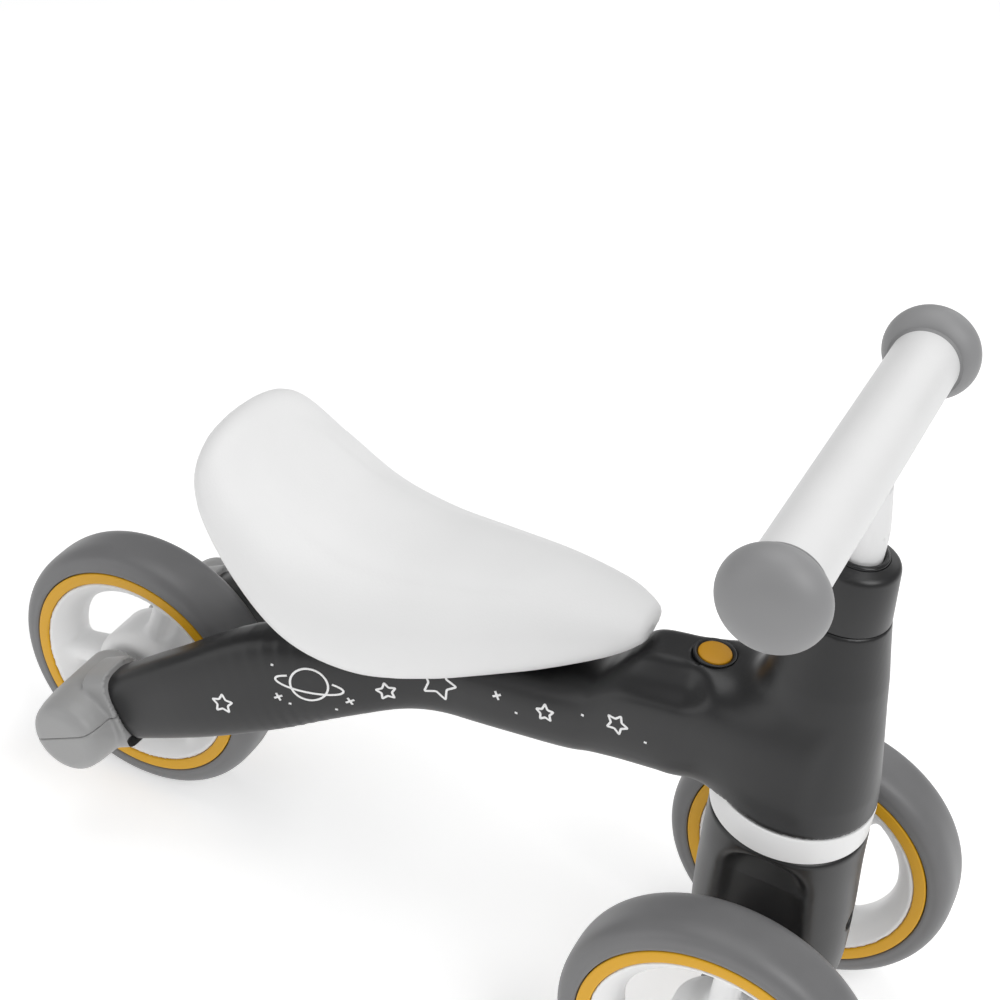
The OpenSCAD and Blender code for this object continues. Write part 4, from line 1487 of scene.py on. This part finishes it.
# ------------------------------------------------------------------ print
@dataclass
class Print:
    """White line stars, dots and a ringed ball printed along the beam and the arms on both sides."""

    frame_part: MainFrame
    line: float = 1.15
    proud: float = 0.14
    sunk: float = 0.2
    # (x, z, radius, turn in degrees) of the five-pointed outlines
    stars: tuple[tuple[float, float, float, float], ...] = (
        (-99, 125, 5.6, 8), (-21, 156, 5.0, 20), (3, 169, 9.5, -6), (58, 178, 4.6, 12), (93, 190, 5.6, -14))
    # (x, z, radius) of the ball and its ring's half length
    ball: tuple[float, float, float] = (-57, 151, 9.2)
    ring: tuple[float, float, float] = (16.5, 4.2, 2)
    # (x, z) of the small dots and of the small crosses
    dots: tuple[tuple[float, float], ...] = (
        (-76, 157), (-65, 137), (-43, 139), (44, 171), (76, 186), (108, 187))
    crosses: tuple[tuple[float, float], ...] = ((-71, 139.5), (-37, 146), (33, 176))

    def star(self, x: float, z: float, radius: float, turn: float) -> np.ndarray:
        """A closed five-pointed outline with softened points.

        Args:
            x: Its middle along the bike.
            z: Its middle's height.
            radius: From its middle to its points.
            turn: How far it is turned, in degrees.

        Returns:
            Its (x, z) points.
        """
        tips = []
        for k in range(10):
            a = math.radians(turn + 90 + 36 * k)
            r = radius if k % 2 == 0 else radius * 0.52
            tips.append((r * math.cos(a), r * math.sin(a)))
        tips = np.array(tips)
        path = []
        for k in range(10):
            before, here, after = tips[k - 1], tips[k], tips[(k + 1) % 10]
            for f in (0.0, 0.25, 0.5, 0.75, 1.0):
                a = here + (before - here) * 0.16
                b = here + (after - here) * 0.16
                path.append((1 - f) ** 2 * a + 2 * f * (1 - f) * here + f * f * b)
        return np.array(path) + (x, z)

    def oval_line(self, x: float, z: float, a: float, b: float, turn: float, start: float,
                  end: float) -> np.ndarray:
        """Part of an oval from one angle to another.

        Args:
            x: Its middle along the bike.
            z: Its middle's height.
            a: Its first half axis.
            b: Its second half axis.
            turn: How far it is turned, in degrees.
            start: Where the line starts, in degrees.
            end: Where the line ends, in degrees.

        Returns:
            Its (x, z) points.
        """
        t = np.radians(np.linspace(start, end, 48))
        c, s = math.cos(math.radians(turn)), math.sin(math.radians(turn))
        u, v = a * np.cos(t), b * np.sin(t)
        return np.stack([x + u * c - v * s, z + u * s + v * c], 1)

    def strokes(self) -> list[tuple[np.ndarray, bool]]:
        """Every stroke of the print.

        Returns:
            The (x, z) points of each, and whether it closes on itself.
        """
        out = [(self.star(*s), True) for s in self.stars]
        x, z, r = self.ball
        half, thick, turn = self.ring
        out.append((self.oval_line(x, z, r, r, 0, 0, 352.5), True))
        out.append((self.oval_line(x, z - 0.5, half, thick, turn, 133, 407), False))
        for cx, cz in self.crosses:
            for a in (35, 125):
                d = 1.9 * np.array((math.cos(math.radians(a)), math.sin(math.radians(a))))
                out.append((np.array([(cx, cz) - d, (cx, cz), (cx, cz) + d]), False))
        for dx, dz in self.dots:
            out.append((np.array([(dx - 0.3, dz), (dx + 0.3, dz)]), False))
        return out

    def on_skin(self, flat: np.ndarray, side: int) -> tuple[np.ndarray, np.ndarray]:
        """Lays (x, z) points on the moulding's side.

        Args:
            flat: The points.
            side: 1 for the left side and -1 for the right.

        Returns:
            Places on the surface, and its outward directions there.
        """
        p = np.stack([flat[:, 0], np.full(len(flat), 75.0 * side), flat[:, 1]], 1)
        # Steps inwards from beside the bike by a share of the distance left
        for _ in range(70):
            p[:, 1] -= side * np.maximum(self.frame_part.solid(p), 0) * 0.7
            p[:, 1] = side * np.maximum(side * p[:, 1], 2.0)
        return p, field_slope(self.frame_part.solid, p)[1]

    def ribbon(self, flat: np.ndarray, closed: bool, side: int) -> tuple[np.ndarray, list]:
        """A thin raised band along one stroke, closed all round.

        Args:
            flat: The stroke's (x, z) points.
            closed: Whether the stroke closes on itself.
            side: 1 for the left side and -1 for the right.

        Returns:
            Points and faces.
        """
        spots, out = self.on_skin(flat, side)
        ahead = np.roll(spots, -1, 0) - np.roll(spots, 1, 0)
        if not closed:
            ahead[0], ahead[-1] = spots[1] - spots[0], spots[-1] - spots[-2]
            ends = ahead[[0, -1]] / np.linalg.norm(ahead[[0, -1]], axis=1, keepdims=True) * self.line * 0.35
            spots[0] -= ends[0]
            spots[-1] += ends[1]
        ahead /= np.linalg.norm(ahead, axis=1, keepdims=True)
        across = np.cross(out, ahead)
        across /= np.linalg.norm(across, axis=1, keepdims=True)
        section = ((-0.5, -self.sunk), (-0.5, self.proud * 0.6), (-0.3, self.proud), (0.3, self.proud),
                   (0.5, self.proud * 0.6), (0.5, -self.sunk))
        rows = [spots + across * u * self.line + out * v for u, v in section]
        points = np.stack(rows, 1).reshape(-1, 3)
        n, m = len(spots), len(section)
        faces = []
        for i in range(n if closed else n - 1):
            j = (i + 1) % n
            faces += [[i * m + k, j * m + k, j * m + (k + 1) % m, i * m + (k + 1) % m] for k in range(m)]
        if not closed:
            faces += [list(range(m)), [(n - 1) * m + k for k in reversed(range(m))]]
        if enclosed(points - points.mean(0), faces) < 0:
            faces = [f[::-1] for f in faces]
        return points, faces

    def build(self) -> None:
        """Makes the print on each side."""
        for side, label in ((1, "left"), (-1, "right")):
            points, faces, count = [], [], 0
            for flat, closed in self.strokes():
                p, f = self.ribbon(flat, closed, side)
                points.append(p)
                faces += [[i + count for i in face] for face in f]
                count += len(p)
            add_piece(f"print_{label}", np.vstack(points), faces, Body.FRAME, WHITE_INK)


# ------------------------------------------------------------------ the rest
def dress_cad_nodes() -> None:
    """Gives each CAD node that is still shown the material of its kind."""
    kinds = {finish.slot: finish for finish in (ZINC_STEEL, ACETAL, BLACK_PP, WHITE_PP, GREY_PP, YELLOW_ABS,
                                                GREY_EVA, PU_SKIN)}
    for part in frame["record"]["subparts"]:
        node = frame["nodes"].get(part["node"])
        if node and not node.hide_render:
            node.data.materials.clear()
            node.data.materials.append(kinds[part["material_slot"]].material())


@dataclass
class Studio:
    """The floor, the soft lights and the camera."""

    # Where the camera stands, in metres, and its right and up directions
    eye: Point = (0.26819, -0.62910, 0.75938)
    right: Point = (0.88677582, 0.44902665, 0.1095615)
    up: Point = (-0.34616629, 0.48815471, 0.80117032)
    lens: float = 66.778
    # What the lights look at
    target: Point = (0, 0, 0.15)

    def camera(self) -> None:
        """Creates the camera."""
        right, up = Vector(self.right), Vector(self.up)
        turn = Matrix((right, up, right.cross(up))).transposed().to_4x4()
        data = bpy.data.cameras.new("camera")
        data.lens, data.sensor_width = self.lens, 36.0
        data.clip_start, data.clip_end = 0.01, 50.0
        made = bpy.data.objects.new("camera", data)
        made.matrix_world = Matrix.Translation(self.eye) @ turn
        bpy.context.scene.collection.objects.link(made)
        bpy.context.scene.camera = made

    def area(self, name: str, place: Point, size: float, power: float) -> None:
        """Adds a square soft light that looks at the bike.

        Args:
            name: The light's name.
            place: Where it stands, in metres.
            size: Its side.
            power: Its power in watts.
        """
        data = bpy.data.lights.new(name, "AREA")
        data.size, data.energy = size, power
        made = bpy.data.objects.new(name, data)
        made.location = place
        towards = Vector(self.target) - Vector(place)
        made.rotation_euler = towards.to_track_quat("-Z", "Y").to_euler()
        bpy.context.scene.collection.objects.link(made)

    def floor(self) -> None:
        """Adds the pale floor."""
        half = 6.0
        mesh = bpy.data.meshes.new("floor")
        mesh.from_pydata([(-half, -half, 0), (half, -half, 0), (half, half, 0), (-half, half, 0)], [],
                         [(0, 1, 2, 3)])
        made = bpy.data.objects.new("floor", mesh)
        bpy.context.scene.collection.objects.link(made)
        paper = bpy.data.materials.new("matt_paper_white")
        paper.use_nodes = True
        shader = paper.node_tree.nodes["Principled BSDF"]
        shader.inputs["Base Color"].default_value = linear("#f6f6f6")
        shader.inputs["Roughness"].default_value = 0.9
        shader.inputs["Emission Color"].default_value = linear("#ffffff")
        shader.inputs["Emission Strength"].default_value = 0.43
        mesh.materials.append(paper)

    def build(self) -> None:
        """Sets the stage."""
        self.camera()
        self.floor()
        # A white sky and four soft lights: in front on the right, behind on the right, overhead and left
        world = bpy.data.worlds.new("white_studio")
        world.use_nodes = True
        sky = world.node_tree.nodes["Background"]
        sky.inputs["Color"].default_value = linear("#ffffff")
        sky.inputs["Strength"].default_value = 0.3
        bpy.context.scene.world = world
        self.area("key", (1.1, -0.5, 1.5), 0.9, 12)
        self.area("fill", (-1.3, -1.4, 0.7), 1.2, 5.5)
        self.area("top", (-0.1, 0.2, 1.9), 1.4, 12)
        self.area("back", (0.4, 1.6, 1.0), 1.0, 3)
        bpy.context.scene.view_settings.view_transform = "Standard"


def main() -> None:
    """Builds every sub-assembly in order."""
    logging.basicConfig(level=logging.INFO, format="%(name)s: %(message)s")
    Studio().build()
    body = MainFrame()
    body.build()
    Print(body).build()
    Head().build()
    Handlebar().build()
    Fork().build()
    bracket = RearBracket()
    bracket.build()
    Wheel(Body.REAR_WHEEL, "rear", 0.0, AT.rear_x, 75).build()
    Wheel(Body.LEFT_WHEEL, "front_left", AT.side_y, AT.front_x, 60, capped=1).build()
    Wheel(Body.RIGHT_WHEEL, "front_right", -AT.side_y, AT.front_x, 90, capped=-1).build()
    Saddle(frame_part=body).build()
    ReleaseButton(body).build()
    # A screw's seat is the outer face of its head, which points down
    ScrewSet("cover_pan_screws", tuple((x, 0, body.floor(x) - 0.2) for x in body.cover_screw_x),
             3.3, 1.7, 1.5, 15, "cover_screws").build()
    pan_height = 2.6
    seat_z = AT.axle_z - bracket.screw_seat - 0.05 - pan_height
    ScrewSet("bracket_pan_screws",
             tuple((AT.rear_x + bracket.screw_x, s * y, seat_z) for s in (1, -1) for y in bracket.screw_y),
             3.9, pan_height, 2.0, 24, "bracket_screws").build()
    cap_height = 3.0
    ScrewSet("saddle_cap_screws",
             tuple((x, 0, body.roof(x) - body.bolt_roof - cap_height) for x in body.bolt_x),
             4.9, cap_height, 2.4, 30, "seat_bolts", hex_drive=True).build()
    dress_cad_nodes()


if __name__ == "__main__":
    main()
